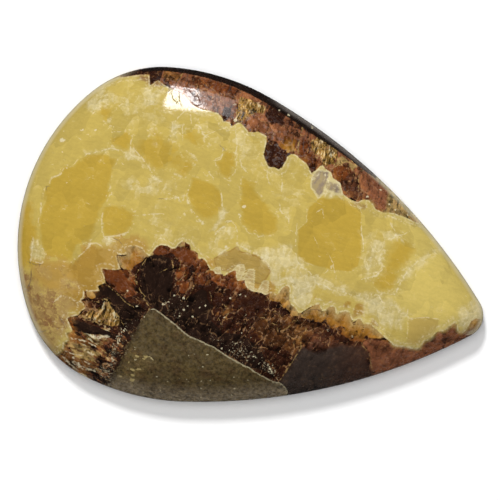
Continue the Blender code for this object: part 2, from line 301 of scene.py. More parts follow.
# Patches of each colour in the aragonite and the mudstone, and of its grain: softness, strength, corners
BROWN_PATCHES = {
    "chestnut": (
        (0.6, 1, -18.5, 11, -9, 11, -2, 10.2, 1, 9.4, 3, 8, 6, 7.2, 13, 6.4, 16, 8, 0, 18, -16, 16),
    ),
    "rust": (
        (0.4, 0.9, -8.8, -2.2, -8.2, -1.2, -6.8, -1.1, -6.4, -0.3, -5.5, -0.5, -4.7, -1, -3.3, -1.9,
         -4, -2.7, -4.9, -2.3, -5.2, -2.9, -6.2, -2.3, -7, -1.9, -8, -2.3),
        (0.35, 0.8, -6, -2.2, -5.1, -2.6, -4.9, -3.6, -4.6, -4.3, -4.8, -5, -5.4, -5, -5.9, -4.2, -6.2, -3.3),
        (0.3, 0.9, -3.2, -2.2, -2, -2.2, -1.2, -1.4, -0.6, -2.4, 0, -2.2, 0.4, -3.1, -0.6, -3.6, -2, -3.4,
         -3, -3.1),
        (0.2, 1, -12.6, -4.7, -11.3, -4.5, -10.2, -4.2, -9.6, -4.4, -9.2, -5.4, -9, -6.2, -9.8, -6.6,
         -10.6, -6.4, -11.6, -5.9, -12.1, -5.5),
        (0.25, 1, -14.5, -9.9, -13.7, -9.6, -13.2, -10.2, -13.4, -10.9, -14.2, -10.6),
        (0.4, 0.8, -4.9, -2.3, -3.4, -2.4, -3.3, -4, -4.4, -3.9),
        (0.35, 1, -9.6, 13.1, -5.4, 13.1, -5.2, 13.8, -9.6, 13.9),
        (0.3, 1, 1.3, 9.8, 1.3, 11.3, 2.1, 10.9, 2.3, 10, 3.3, 9.6, 3, 8.2),
        (0.2, 1, 4.6, 9.2, 5.1, 9.8, 5.9, 9.9, 6.4, 9.3, 6, 8.4, 5.2, 8.4),
    ),
    "black": (
        (0.5, 1, -9.3, -3, -8.5, -2.4, -7.6, -2.2, -7, -2.2, -6.4, -3, -6.1, -4.6, -5.6, -5.2, -4.6, -5.2,
         -4, -4.4, -3.6, -4, -3.2, -4, -2.9, -4.5, -2.2, -5.4, -2, -6.6, -0.6, -7.3, 1, -7, 2.6, -7.6,
         3.6, -8.6, 4.9, -9.8, 2.5, -9.6, 0, -9, -3, -8.4, -5, -7.7, -7.2, -6.8, -8.4, -6.2, -9.1, -4.8),
        (0.35, 0.9, -12.6, -6.2, -11.8, -5.8, -9.5, -6.9, -8.2, -6.8, -8, -8.8, -8.8, -9.4, -9.6, -9.3,
         -10.2, -9, -11.6, -7, -12.9, -7.8),
        (0.25, 1, -13.9, -9.6, -10, -9.9, -9.6, -10.3, -11, -10.3, -12.4, -10.6, -13.4, -10.5),
    ),
    "orange": (
        (0.25, 1, -11.1, -2.3, -10.3, -1.9, -9.1, -2.1, -9, -2.7, -9.3, -3.2, -9.8, -3.7, -10, -4.2,
         -10.6, -4.3, -11.1, -4.1, -11.5, -3.3, -10.8, -3),
        (0.2, 0.9, -13.3, -7, -12.7, -6.9, -12.4, -7.3, -12.6, -7.6, -13.1, -7.4),
        (0.3, 1, 2.2, -2.5, 2.8, -2.6, 3.1, -1.9, 3.7, -1.2, 4.3, -2.8, 4.9, -3.3, 5.3, -4, 4.6, -4.2,
         3.4, -3.4, 2.4, -3.4),
        (0.3, 0.9, 5.4, -3.6, 6.1, -2.9, 6.7, -2.3, 7.6, -2.6, 7.7, -3.6, 7.3, -4.2, 6, -4.2, 5.4, -4.1),
        (0.2, 1, 7.4, -3.2, 7.6, -2.5, 8.2, -2.4, 8.5, -3.2, 8.9, -3.9, 8.2, -4.4, 7.7, -3.9),
        (0.2, 1, 8.5, -3, 8.9, -2.5, 9.5, -2.6, 10, -3.6, 9.8, -4, 8.8, -3.8),
        (0.2, 1, 10.2, -3.9, 10.3, -2.8, 10.6, -2.8, 10.9, -3.4, 10.8, -3.9),
        (0.4, 1, 11, -3, 12, -3.1, 13, -3.8, 12.4, -4, 11.2, -4.1),
        (0.2, 1, 18.25, -1.3, 18.6, -0.6, 19, -1.3, 18.7, -1.6),
        (0.3, 1.1, 19.5, -1.4, 19.9, -0.4, 20.4, 0.6, 21.3, 0.4, 20.8, -1.4),
        (0.4, 0.9, 9.4, -3.8, 11.2, -3.9, 11.5, -4.6, 10.2, -4.9, 9.2, -4.6),
        (0.3, 0.8, -0.5, 9.9, -0.2, 11, 1, 11, 1, 9.8, 0.4, 9.5),
    ),
    "gold": (
        (0.3, 0.9, -12.9, -9.1, -12.6, -8.5, -11.9, -8.2, -11.6, -7.4, -11.2, -7.2, -10.6, -7.9, -9.8, -8.5,
         -9.6, -9, -10.2, -9.4, -11.4, -9.3),
        (0.35, 0.8, -4.9, 13.1, -4.8, 10.8, -4.2, 10.8, -3.9, 11.8, -2.6, 12.2, -2.4, 13, -3.6, 13.2),
        (0.3, 0.6, 2.1, 10.9, 2.5, 12, 3.8, 11.8, 4.8, 11.2, 4.6, 9.6, 3.6, 9.2, 3.4, 9.9, 2.4, 10.2),
    ),
    "copper": (
        (0.3, 0.8, -13.9, -11, -12.6, -10.9, -10.8, -11.2, -10.6, -11.5, -12.2, -11.6, -13.8, -11.6),
        (0.5, 0.7, -14.6, -13.4, -13.6, -12.4, -11.4, -12.5, -10.3, -13.2, -11, -14, -13.2, -14),
        (0.6, 0.4, -1.9, -4.9, -1, -4.6, -0.4, -5, -0.6, -6, -1.4, -6.3, -1.9, -5.6),
        (0.5, 0.5, 4.9, -4.7, 6.3, -4.6, 6.5, -6.4, 5.6, -6.8, 4.8, -5.8),
        (0.15, 0.9, -1.7, 9, -1.2, 8.9, -1.05, 9.9, -1.6, 10.2),
        (0.35, 1, -12, 13, -10.6, 12.9, -10.4, 13.6, -12, 13.8),
    ),
    "tan": (
        (0.3, 0.8, -13.4, -12.1, -11.2, -12.2, -10.8, -12.8, -12.8, -12.8),
        (0.3, 0.7, -13.8, -11.6, -12.2, -11.6, -10.5, -11.9, -10.4, -12.3, -11.8, -12.2, -13.6, -12.1),
        (0.5, 0.9, -9.4, -2, -8.5, -2.1, -8.5, -2.8, -9.2, -2.8),
        (0.5, 1, -7.3, -0.6, -6.3, -0.3, -6, -1.1, -7.1, -1.2),
        (0.7, 1, 9.6, 9.2, 14, 7.4, 13, 6.4, 10, 6.6),
        (0.4, 0.8, 4.6, 9.6, 5, 10.8, 6.6, 10.2, 6.4, 9.5, 5.8, 10),
    ),
    "umber": (
        (0.5, 0.9, 0, -3.1, 2, -3.1, 2.3, -4.4, 0.8, -4.9, -0.4, -4.6, -0.4, -3.6),
        (0.2, 1, -15.5, 12.2, -13.2, 13, -12.85, 11.8, -12.6, 12.4, -12.1, 12.9, -12.2, 14, -13.5, 14.5,
         -16.5, 12.5),
        (0.3, 0.9, -2.4, 12.2, -2.2, 13.4, -0.6, 13.2, -0.7, 12.3, -1.6, 11.5),
        (0.2, 0.9, -6, 12, -5.3, 11.9, -5.2, 11.2, -5.75, 10.5, -6.1, 11.2),
        (0.15, 1, -1.6, 9.8, -1.2, 10.2, -0.8, 10.2, -0.5, 9.9, -0.1, 9.5, 0.5, 9.5, 0.5, 8.9, 0.2, 7.6,
         -0.9, 7.6, -1.7, 8.6),
        (0.5, 0.45, -2.4, 12.9, 2.6, 12.4, 3, 11.5, 0.6, 11.7, -1.8, 11.4),
    ),
    "brown": (
        (0.6, 1, 1.6, -4.9, 3, -4.2, 5, -4.3, 6, -4.2, 7, -4.2, 7.6, -4.6, 6.8, -5, 6.6, -6.2, 5.8, -7.4,
         4.6, -7, 3, -7.4, 1.8, -6.2),
    ),
    "slate": (
        (0.5, 1, 5.2, -10.1, 5.5, -9, 5.9, -7.6, 6.3, -6.7, 7.5, -6.6, 8, -6.3, 8.8, -5.8, 9.8, -5.4,
         11.2, -5.2, 12, -5.6, 12.3, -6.4, 12.9, -7.2, 14, -8.6, 6.5, -13),
    ),
    "russet": (
        (0.3, 1, 11.4, -4.5, 13, -4.2, 15, -4.1, 16.2, -4, 17, -4.2, 19, -3.2, 16, -7, 13.2, -8, 12.7, -7.1,
         12.4, -6.4, 12.1, -5.4, 11.4, -4.9),
        (0.4, 0.75, 16.2, -4, 16.4, -3, 17.2, -2.4, 17.7, -1.8, 18.4, -2, 18.6, -3, 17.5, -4.3),
        (0.4, 1, 18, -1.4, 19.2, -1.2, 20.3, -0.9, 21.6, -0.8, 19, -4, 18.2, -2.8),
        (0.5, 0.8, 8, 9.8, 10, 9, 10.2, 6.8, 8.8, 7.2, 8, 8.2),
    ),
    "dark_red": (
        (0.5, 0.7, 11.6, -4.5, 13.2, -4.3, 14.2, -4.6, 13.6, -5.2, 12.2, -5.1),
        (0.8, 0.9, 6.6, -5.1, 9, -5.3, 11.4, -5.3, 12.2, -5.6, 9, -6.4, 6.6, -6.7),
        (0.2, 1, 6, 8.9, 6.4, 9.6, 7, 9.1, 7.3, 8.3, 7.8, 7.9, 7.5, 7.1, 6.5, 7.4, 5.8, 8),
    ),
    "plum": (
        (0.4, 0.45, 16.4, -4.2, 16.4, -3.1, 17.2, -2.4, 17.6, -1.9, 18.2, -1.9, 18.2, -2.8, 18.8, -4,
         18, -5.2),
    ),
    "fan": (
        (0.8, 1, -15.5, -14.8, -14, -11.2, -12, -9.9, -10, -9.6, -9, -8.8, -8.3, -9.4, -8.6, -12, -9.2, -15,
         -12, -16),
    ),
    "specks": (
        (1, 0.65, -6.9, -6.2, -6.6, -5, -5, -4.8, -4, -5.8, -4, -7.4, -2.6, -7.8, -2, -8.8, -5, -7.8,
         -6.8, -7),
        (0.8, 0.85, -8.4, -8.2, -8.6, -10, -8.9, -14.8, -11, -14.4, -10.4, -12, -9.8, -9, -9, -7.6),
        (1, 0.62, -2.4, -7.2, 1, -6.9, 3, -7.6, 5.2, -8.8, 5, -10.4, 2, -9.6, -2.4, -8.8),
        (0.6, 0.85, 2.4, -8.2, 4.4, -8.4, 5.4, -9.6, 5.2, -10.4, 2.6, -9.6),
    ),
    "calm": (
        (0.4, 1, -12.4, -4.8, -11, -4.5, -10.2, -4.8, -9.6, -5.8, -10.6, -6.2, -12, -5.6),
        (0.4, 1, -12, -6.2, -10.9, -6.3, -9, -7, -9.2, -7.6, -11, -7, -12.4, -7),
        (0.4, 1, -13.6, -9.5, -10.6, -9.7, -10.6, -10.2, -13, -10.3),
        (0.5, 1, -8.6, -3.4, -6.6, -3.4, -6.2, -4.6, -6.6, -5.6, -8, -5.4, -8.7, -4.6),
        (0.5, 1, -4, -3.8, -2.4, -3.6, -2.3, -5, -2.8, -6.4, -3.8, -6),
        (0.4, 1, -0.2, -3.2, 1.8, -3.2, 1.9, -4.5, 0.2, -4.7),
        (0.4, 0.8, -8.6, -1.6, -7, -1.6, -6.2, -0.8, -5, -1.2, -4.8, -2.2, -6.4, -2.2, -7.2, -2.6,
         -8.7, -2.6),
        (0.3, 1, -1.6, 9.9, -0.6, 9.5, 0.4, 9.4, 0.3, 8.3, -0.7, 8, -1.5, 8.8),
        (0.3, 1, 7.5, -2.7, 8.1, -2.5, 10.8, -2.8, 12.6, -3.6, 12.4, -4, 7.8, -3.8),
        (0.3, 1, -11, -2.3, -9.2, -2.2, -9.6, -3.9, -10.8, -4, -11.2, -3.2),
    ),
    "flakes": (
        (0.5, 1, -8.4, -11, -7, -10.4, -5.9, -11.2, -6.6, -12.6, -7.2, -14, -8.6, -13.6),
    ),
}

# Thin lines: width in mm and points. Pale seams in the calcite first, then cracks in the brown.
CALCITE_SEAMS = (
    (0.1, -19.3, 0.6, -19.3, 0.2, -19.25, -0.3, -19.15, -1, -19.05, -1.5),
    (0.09, -19, 1.3, -18.95, 1.9, -18.3, 2.25, -18.15, 2.9, -17.4, 3.25),
    (0.1, -13.75, 0, -13.6, -0.9, -13.35, -1.6, -12.9, -2.1, -12.1, -2.15),
    (0.12, -12.9, -1.95, -12, -1.6, -11.2, -1.1),
    (0.08, -14.9, 7.6, -14.95, 7.1, -14.2, 7.3, -13.7, 7.5, -13.3, 7.25, -13.05, 7.4, -13.05, 6.6,
     -12.9, 5.9),
    (0.1, -16.6, 4.6, -15.9, 4.9, -15.5, 5.2, -14.6, 5.7, -14, 5.7),
    (0.08, -12.4, 6, -11.6, 5.5, -10.9, 4.9, -10.1, 4.2, -9.5, 4),
    (0.15, -10.1, 4.15, -9.8, 4.05),
    (0.14, -8.7, 2.7, -8.2, 2.85, -7.9, 3),
    (0.09, -8.85, 3.2, -8.1, 3.15, -7.7, 3.05, -7.5, 2.8),
    (0.09, -11, 0.55, -9.7, 1, -8.6, 1.35),
    (0.07, -7.1, 5.1, -7.05, 4.2, -7, 3.2, -6.4, 2.4, -5.6, 1.9),
    (0.16, -5.4, 1.65, -5.2, 1.55, -4.95, 1.5),
    (0.08, -6.1, 5.7, -5.8, 5.5, -5.75, 5.9, -5.3, 5.6),
    (0.08, -4.3, 4.7, -4, 4, -3.8, 3.4),
    (0.07, -5.1, 8.3, -5, 7.7, -5.1, 7.3, -5.5, 7.1),
    (0.07, -3.6, 7, -3.5, 6.5, -3.9, 6),
    (0.08, -9.1, 9.2, -8.9, 8.5, -8.75, 8.1),
    (0.08, -10, 9.3, -9.8, 8.4, -9.9, 7.8),
    (0.08, -9.1, 10.8, -9.5, 10.2, -9.8, 9.5),
    (0.08, -8.9, 10.9, -8.6, 10.2, -8.4, 9.7),
    (0.08, -7.9, 10.2, -7.6, 9.6, -7.2, 9.1, -6.7, 8.8),
    (0.08, -4.6, 10.4, -4.3, 9.6, -4, 8.9, -3.95, 8.1),
    (0.07, -6.9, 9, -6.2, 9.6, -5.6, 10),
    (0.14, -3.7, 0.9, -3.55, 1.3, -3.2, 1.7, -3.15, 2.2, -2.7, 2.35),
    (0.1, -2.7, 2.35, -2.2, 2, -1.9, 1.5, -1.75, 1, -1.5, 0.5),
    (0.16, -1.6, 0.5, -1.1, 0.4, -0.5, 0.25, 0.2, 0.15, 0.9, -0.05, 1.5, -0.5, 1.9, -0.85),
    (0.16, -2.9, -0.7, -2.5, -0.2, -2.1, 0.1),
    (0.09, -3.4, 7.7, -3.1, 7.2, -2.6, 6.9),
    (0.1, -0.9, 7.5, -0.7, 6.9, -0.4, 6.5),
    (0.1, 0.5, 7.4, 0.7, 6.8, 0.8, 6.2),
    (0.09, 1, 4.9, 1.2, 4.4, 1.6, 4.1, 2.1, 3.9, 2.2, 3.5),
    (0.07, 2.9, 3.6, 3.05, 2.9, 3.3, 1.9, 3.55, 1.1, 3.7, 0.7),
    (0.06, 4.7, 2.9, 5, 2.6, 5.2, 2.3),
    (0.07, 6.3, 1.85, 6.9, 1.2, 7.1, 0.7, 7.5, 0.1),
    (0.07, 6.8, 0.9, 6.65, 0.5, 6.45, 0.2),
    (0.07, 4.3, 5.2, 4.7, 5.6, 5, 4.9),
    (0.12, 4, 0.35, 4.4, 0.1, 5, -0.05, 5.6, -0.4, 5.85, -0.8),
    (0.09, 5.8, -0.9, 6.6, -0.85, 7.4, -1.1, 8.3, -0.95, 9.3, -1.05),
    (0.1, 9.7, 0.55, 10.3, 0.9, 10.8, 1.2, 11.15, 1.8),
    (0.07, 8.25, 5.6, 8.5, 4.6, 8.9, 3.9, 9.2, 2.8),
    (0.1, 10.8, 6, 11.3, 5.5, 11.6, 5.1, 11.4, 4.8),
    (0.08, 11.6, 5.1, 12.1, 5.3, 12.5, 5.7),
    (0.1, 12.85, 0.1, 12.95, 0.8, 13.1, 1.6, 13.4, 2.5, 14, 3.5),
    (0.08, 14.3, -0.9, 14.5, -1.6, 14.8, -2.6, 14.9, -3.2),
    (0.07, 14.6, -1.6, 15.4, -1.35, 16.2, -1.05, 17.1, -0.95),
    (0.09, 10.9, -0.5, 11.5, -0.4, 11.9, -0.8),
    (0.1, -19.1, -3.8, -18.9, -4.8, -18.8, -5.7, -17.8, -5.7, -17.6, -5.2, -17.6, -4.9),
    (0.1, -14.2, -2.9, -13.6, -2.7, -13.1, -2.8),
    (0.1, -15.1, -4.6, -14.6, -4, -14.1, -3.1),
    (0.1, -12.6, -3, -11.9, -2.9, -11.3, -3.1),
    (0.1, -13.4, -7.7, -13.5, -7.2, -12.9, -6.85, -12.3, -6.7),
    (0.14, -15.7, -8.5, -15.3, -7.9, -14.7, -7.9, -14, -8.1, -13.1, -8),
)
PALE_CRACKS = (
    (0.18, -13.9, -9.1, -13.3, -9.05, -12.8, -9.25, -11.5, -9.4, -10.5, -9.6),
    (0.22, -11.9, -10.6, -11.2, -10.6, -10.8, -10.45, -10.4, -10.3),
    (0.24, -12, -11.9, -11.3, -12.1),
    (0.1, -13.4, -11.3, -12.4, -11.2, -11.2, -11.4),
    (0.2, -12.7, -13.25, -12, -13.5, -11.3, -13.55, -10.7, -13.5),
    (0.14, -13.7, -13.1, -13, -13.5, -12.4, -13.8),
    (0.1, -11.9, -12.95, -11.2, -13.05),
    (0.08, -13.6, -12.5, -12.9, -12.6, -12.2, -12.5),
    (0.16, -11, -7.7, -10.4, -8, -9.9, -8.5),
    (0.08, -10, -4.4, -9.6, -4.8, -9.1, -5.3),
    (0.06, -9, -3, -9.3, -3.9, -9.5, -4.4, -9.1, -5.2, -8.6, -5.8, -8.2, -6),
    (0.06, -8.3, -6.2, -7.8, -6.6, -7.5, -6.9, -7.6, -7.4, -8, -8.1),
    (0.08, -11.9, -5.8, -11.2, -6.2, -10.5, -6.5, -9.8, -6.95, -9, -7.2),
    (0.08, -12.4, -7.7, -11.9, -7.6, -11.6, -7.2, -11.3, -7.2, -10.9, -7.7, -10.1, -8.2, -9.4, -8.9),
    (0.06, -3.2, -2.3, -3.6, -2.5, -4, -2.8, -4.2, -3.5, -4.4, -4.6, -4.6, -5.2),
    (0.05, -7.4, -3.6, -7, -3.2, -6.5, -3, -6.7, -2.5),
    (0.05, -6, -2.3, -5.9, -3, -6.1, -3.8, -5.7, -4, -5.4, -3.4, -5.1, -3.2),
    (0.05, -2.8, -4.2, -2.6, -4.5, -2.5, -4.8),
    (0.05, -1.6, -6, -1.3, -6.3, -1, -6.8),
    (0.07, -1.2, -4.95, -0.9, -5.1, -0.75, -5.5, -0.9, -5.9),
    (0.05, 2.2, -3.4, 2.6, -2.9, 3, -2.7, 3.6, -2.9, 4.1, -3.1),
    (0.05, 3.5, -3.6, 4.1, -3.75, 4.8, -4.1, 5.2, -4.4),
    (0.04, 5, -4.3, 4.7, -5.2, 4.3, -5.6),
    (0.04, 2.9, -4.3, 3.4, -4.2, 3.8, -4.6),
    (0.04, 2, -5.1, 2.4, -5, 2.8, -5.3),
    (0.04, 3.2, -5.3, 3.6, -5.3, 3.8, -5.8),
    (0.04, 5, -6, 5.4, -6.1, 5.5, -6.6),
    (0.07, 6.2, -5, 5.9, -5.8, 6.2, -6.7, 5.8, -8, 5.5, -9, 5.2, -9.8),
    (0.06, 11.2, -4.9, 11.6, -5.2, 12.1, -5.5, 12.4, -6.2, 12.8, -6.8),
    (0.09, 1.05, 12.6, 1.1, 11.6, 1.15, 10.6, 1.3, 9.8),
    (0.07, 7, 9.2, 7.2, 8.6, 7.3, 8.1),
    (0.07, 2.2, 11, 2.3, 10.4, 2.8, 9.9, 3.3, 9.7, 3.7, 9.6),
    (0.07, 2.9, 11, 3.4, 11.2, 3.4, 10.8, 3, 10.6),
    (0.07, 6.6, 9.3, 6.8, 9.7, 7.2, 9.9),
    (0.07, 4.6, 9.3, 5.1, 9.9, 5.8, 9.9, 6.1, 9.4),
    (0.07, -4.9, 12, -4.7, 11.2, -4.9, 10.8),
    (0.07, -4.2, 12.3, -4, 11.5, -4.2, 10.9),
    (0.06, -3.3, 12.6, -3.6, 11.9, -3.9, 11.4),
    (0.07, -10.4, 13.9, -10.5, 13.3, -10.3, 12.8),
    (0.12, 7.2, -3.2, 7.5, -2.75, 7.9, -2.55, 8.2, -2.8, 8.35, -3.3),
    (0.12, 8.5, -3.1, 8.8, -2.7, 9.2, -2.6, 9.6, -3, 9.9, -3.6),
    (0.12, 5.6, -3.7, 6.1, -3.2, 6.6, -2.75, 6.9, -3.1, 7.1, -3.6),
    (0.1, 10.1, -3.4, 10.4, -2.95, 10.8, -3.3, 11.4, -3.3, 12.2, -3.55),
    (0.1, 3.2, -2.8, 3.5, -2.1, 3.65, -1.9, 3.9, -2.4, 4.1, -3),
    (0.08, -10.3, -3.1, -9.8, -2.8, -9.4, -2.6),
    (0.05, 10.15, -3.2, 10.5, -2.65, 10.8, -3.2),
    (0.09, -7.3, -13.2, -7.8, -13.45, -8.2, -13.1),
    (0.09, -6.9, -11.15, -6.5, -11.1, -6.1, -11),
)
DARK_CRACKS = (
    (0.1, -12.1, 12.5, -11.6, 12.2, -11.2, 12.5, -11.1, 12, -11.3, 11.7),
    (0.1, -10.9, 12.1, -10.8, 11.7, -10.5, 11.3, -10.2, 11.1),
    (0.09, -10.2, 12, -10, 11.4, -9.7, 11),
    (0.1, -9.3, 12.4, -8.8, 12, -8.6, 12.3, -8.2, 11.8),
    (0.09, -8.9, 11.5, -8.4, 11.3, -8, 11.6),
    (0.1, -7.8, 12.6, -7.4, 12.2, -7, 12.4, -6.8, 11.9),
    (0.1, -19.15, 0.7, -19.25, 0.95, -19, 1),
    (0.08, -12.2, -1.9, -11.7, -1.95, -11.4, -2.2),
    (0.07, -9.3, 2.55, -9, 2.6),
    (0.08, -5.4, 8.45, -5, 8.25),
    (0.12, -11.5, -12.3, -10.5, -12.7),
    (0.12, -13.2, -11.75, -12.4, -11.8, -11, -11.65),
    (0.1, -18.4, -7.9, -18.3, -7.3, -18.5, -6.6),
    (0.12, -18.6, -8.2, -18.3, -8.3),
    (0.12, -16.6, -11.5, -16.1, -11.4, -15.9, -11.3),
    (0.08, -14.9, -9.9, -14.5, -10.2, -14.2, -10.4),
    (0.09, -18.9, -5.85, -18.2, -5.95, -17.8, -5.8),
    (0.09, 5.3, -4, 5.8, -3.5, 6.3, -3.1, 6.9, -3.1),
    (0.08, 1.5, 11.9, 1.5, 10.8, 1.7, 10.1),
    (0.08, -9.9, 13.9, -9.9, 13.2, -10.1, 12.8),
    (0.08, -7.3, 13.9, -7.4, 13.2),
    (0.08, -6, 13.8, -6.1, 13.1),
)
# Small round spots: radius and place in mm
PALE_SPOTS = (
    (0.15, -17.55, 6.55), (0.1, -16.4, 6.85), (0.08, -19.1, 6.1), (0.12, -18.65, 4.25), (0.2, -19, 5.3),
    (0.1, -17.5, 1.7), (0.08, -13.85, 1.5), (0.2, -12.6, -2.1), (0.12, -7.7, 3.05), (0.2, -2.1, 3),
    (0.18, -1.95, 3.85), (0.15, -2.5, 0), (0.12, -5.7, -5.3), (0.11, -4.9, -5.3), (0.11, -6.5, -6.3),
    (0.11, -4.6, -6.3), (0.1, -4.4, -5.9), (0.09, -4.8, -6.9), (0.12, -3.7, -6.65), (0.08, -2.5, -6.5),
    (0.07, -3.3, -5.7), (0.07, -3.3, -5.25), (0.08, -2.9, -5.4), (0.11, -0.2, -3.7), (0.11, -0.95, -4.2),
    (0.09, -1, -5.95), (0.09, 0.3, -3.65), (0.08, 0.75, -5.2), (0.08, 2.6, -5.95), (0.06, 3.6, -6.3),
    (0.07, 3.4, -7.2), (0.07, 3.15, -7.8), (0.07, 4.4, -7.7), (0.08, 1.4, -6.2), (0.08, 0.8, -6.8),
    (0.08, 1.7, -7), (0.08, 2, -7.7), (0.07, 0.2, -8.6), (0.07, 0.95, -8.6), (0.09, -0.5, -8.6),
    (0.12, 8, -4.6), (0.07, 8.9, -5.9), (0.14, 10.2, -4.5), (0.12, 7.3, -3.4), (0.06, 8.7, -8.9),
    (0.12, -8.7, -7.1), (0.08, -8.8, -8.5), (0.1, -9.8, -6), (0.09, -0.7, -11.6), (0.08, 2.5, -12.4),
    (0.06, -2.7, -11.8), (0.06, -2, -10.8), (0.09, -7.5, -11.6), (0.08, -7.9, -12.6), (0.08, -7.2, -12),
    (0.14, -12.9, -12.9), (0.16, -12.3, -13.3), (0.14, -11.6, -10.6), (0.08, -9.4, -10.3),
    (0.14, -0.4, 12.8), (0.14, 1.9, 12.4), (0.1, -1.3, 13), (0.1, 0.9, 13), (0.16, 8.2, 7.7),
    (0.14, 9.2, 8.7), (0.12, 10.3, 7.6), (0.1, 11.3, 6.4), (0.1, 12.1, 7.2), (0.09, 10.9, 7.3),
    (0.12, 4.1, 8.5), (0.14, -4.8, 11), (0.12, -5.2, 12.4),
)


def arc_points(centre, radius, start, turn):
    """Return the points of an arc that turns clockwise, after its first one."""
    count = max(2, math.ceil(radius * turn / OUTLINE_STEP))
    angles = start - turn * np.arange(1, count + 1) / count
    return centre + radius * np.column_stack((np.cos(angles), np.sin(angles)))


def pear_outline():
    """Return the closed outline, counter-clockwise, in mm, centred along its length."""
    side = [np.zeros((1, 2))]
    outward = math.pi
    for radius, turn in (ROUND_END, CORNER, WIDEST_PART):
        centre = side[-1][-1] - radius * np.array((math.cos(outward), math.sin(outward)))
        side.append(arc_points(centre, radius, outward, turn))
        outward -= turn
    flank_centre = side[-1][-1] - FLANK_RADIUS * np.array((math.cos(outward), math.sin(outward)))
    reach = FLANK_RADIUS - TIP_RADIUS
    tip_angle = math.asin(-flank_centre[1] / reach)
    tip_centre = np.array((flank_centre[0] + reach * math.cos(tip_angle), 0.0))
    side.append(arc_points(flank_centre, FLANK_RADIUS, outward, outward - tip_angle))
    side.append(arc_points(tip_centre, TIP_RADIUS, tip_angle, tip_angle))
    upper = np.concatenate(side)
    upper *= STONE_LENGTH / upper[-1, 0]
    upper[:, 0] -= STONE_LENGTH / 2
    lower = upper * (1.0, -1.0)
    return np.concatenate((lower[:-1], upper[:0:-1]))


def segment_distance(points, start, end):
    """Return how far each point is from one stretch of a line."""
    along = end - start
    share = np.clip((points - start) @ along / (along @ along), 0.0, 1.0)
    return np.linalg.norm(points - start - share[:, None] * along, axis=1)


def line_distance(points, line):
    """Return how far each point is from an open line."""
    nearest = np.full(len(points), np.inf)
    for start, end in zip(line, line[1:]):
        nearest = np.minimum(nearest, segment_distance(points, start, end))
    return nearest


def as_points(numbers):
    """Return a run of x and y as rows of points."""
    return np.array(numbers, dtype=float).reshape(-1, 2)


def closed(outline):
    """Return an outline with its first point again at its end."""
    return np.concatenate((outline, outline[:1]))


def depth_inside(points, corners):
    """Return how far each point is inside a closed shape, negative outside it."""
    outline = closed(as_points(corners))
    inside = np.zeros(len(points), dtype=bool)
    for (start_x, start_y), (end_x, end_y) in zip(outline, outline[1:]):
        if start_y != end_y:
            spans = (start_y > points[:, 1]) != (end_y > points[:, 1])
            crossing = start_x + (points[:, 1] - start_y) * (end_x - start_x) / (end_y - start_y)
            inside ^= spans & (points[:, 0] < crossing)
    distance = line_distance(points, outline)
    return np.where(inside, distance, -distance)


def soft_step(values):
    """Return a smooth step from 0 to 1 as the values go from 0 to 1."""
    share = np.clip(values, 0.0, 1.0)
    return share * share * (3.0 - 2.0 * share)


def line_fields(points, lines):
    """Return the nearest line's distance, up to 1 mm, with its side as sign and without, and its width."""
    side = np.ones(len(points))
    near = np.ones(len(points))
    width = np.zeros(len(points))
    for line_width, *numbers in lines:
        line = as_points(numbers)
        for start, end in zip(line, line[1:]):
            distance = segment_distance(points, start, end)
            offset = points - start
            turn = (end[0] - start[0]) * offset[:, 1] - (end[1] - start[1]) * offset[:, 0]
            closer = distance < near
            near[closer] = distance[closer]
            side[closer] = np.copysign(distance, turn)[closer]
            width[closer] = line_width
    return np.column_stack((side, near, width))


def spot_field(points, spots):
    """Return how far each point is from the nearest spot, as a share of its radius, up to 3."""
    nearest = np.full(len(points), 3.0)
    for radius, x, y in spots:
        nearest = np.minimum(nearest, np.hypot(points[:, 0] - x, points[:, 1] - y) / radius)
    return nearest


def zone_covers(points, patches):
    """Return how well each colour covers each point: 0.5 at its border, up to 1.5 well inside."""
    covers = {}
    for name, shapes in patches.items():
        covers[name] = np.full(len(points), -0.5)
        for softness, strength, *corners in shapes:
            cover = strength * np.clip(depth_inside(points, corners) / softness + 0.5, -0.5, 1.5)
            covers[name] = np.maximum(covers[name], cover)
    return covers


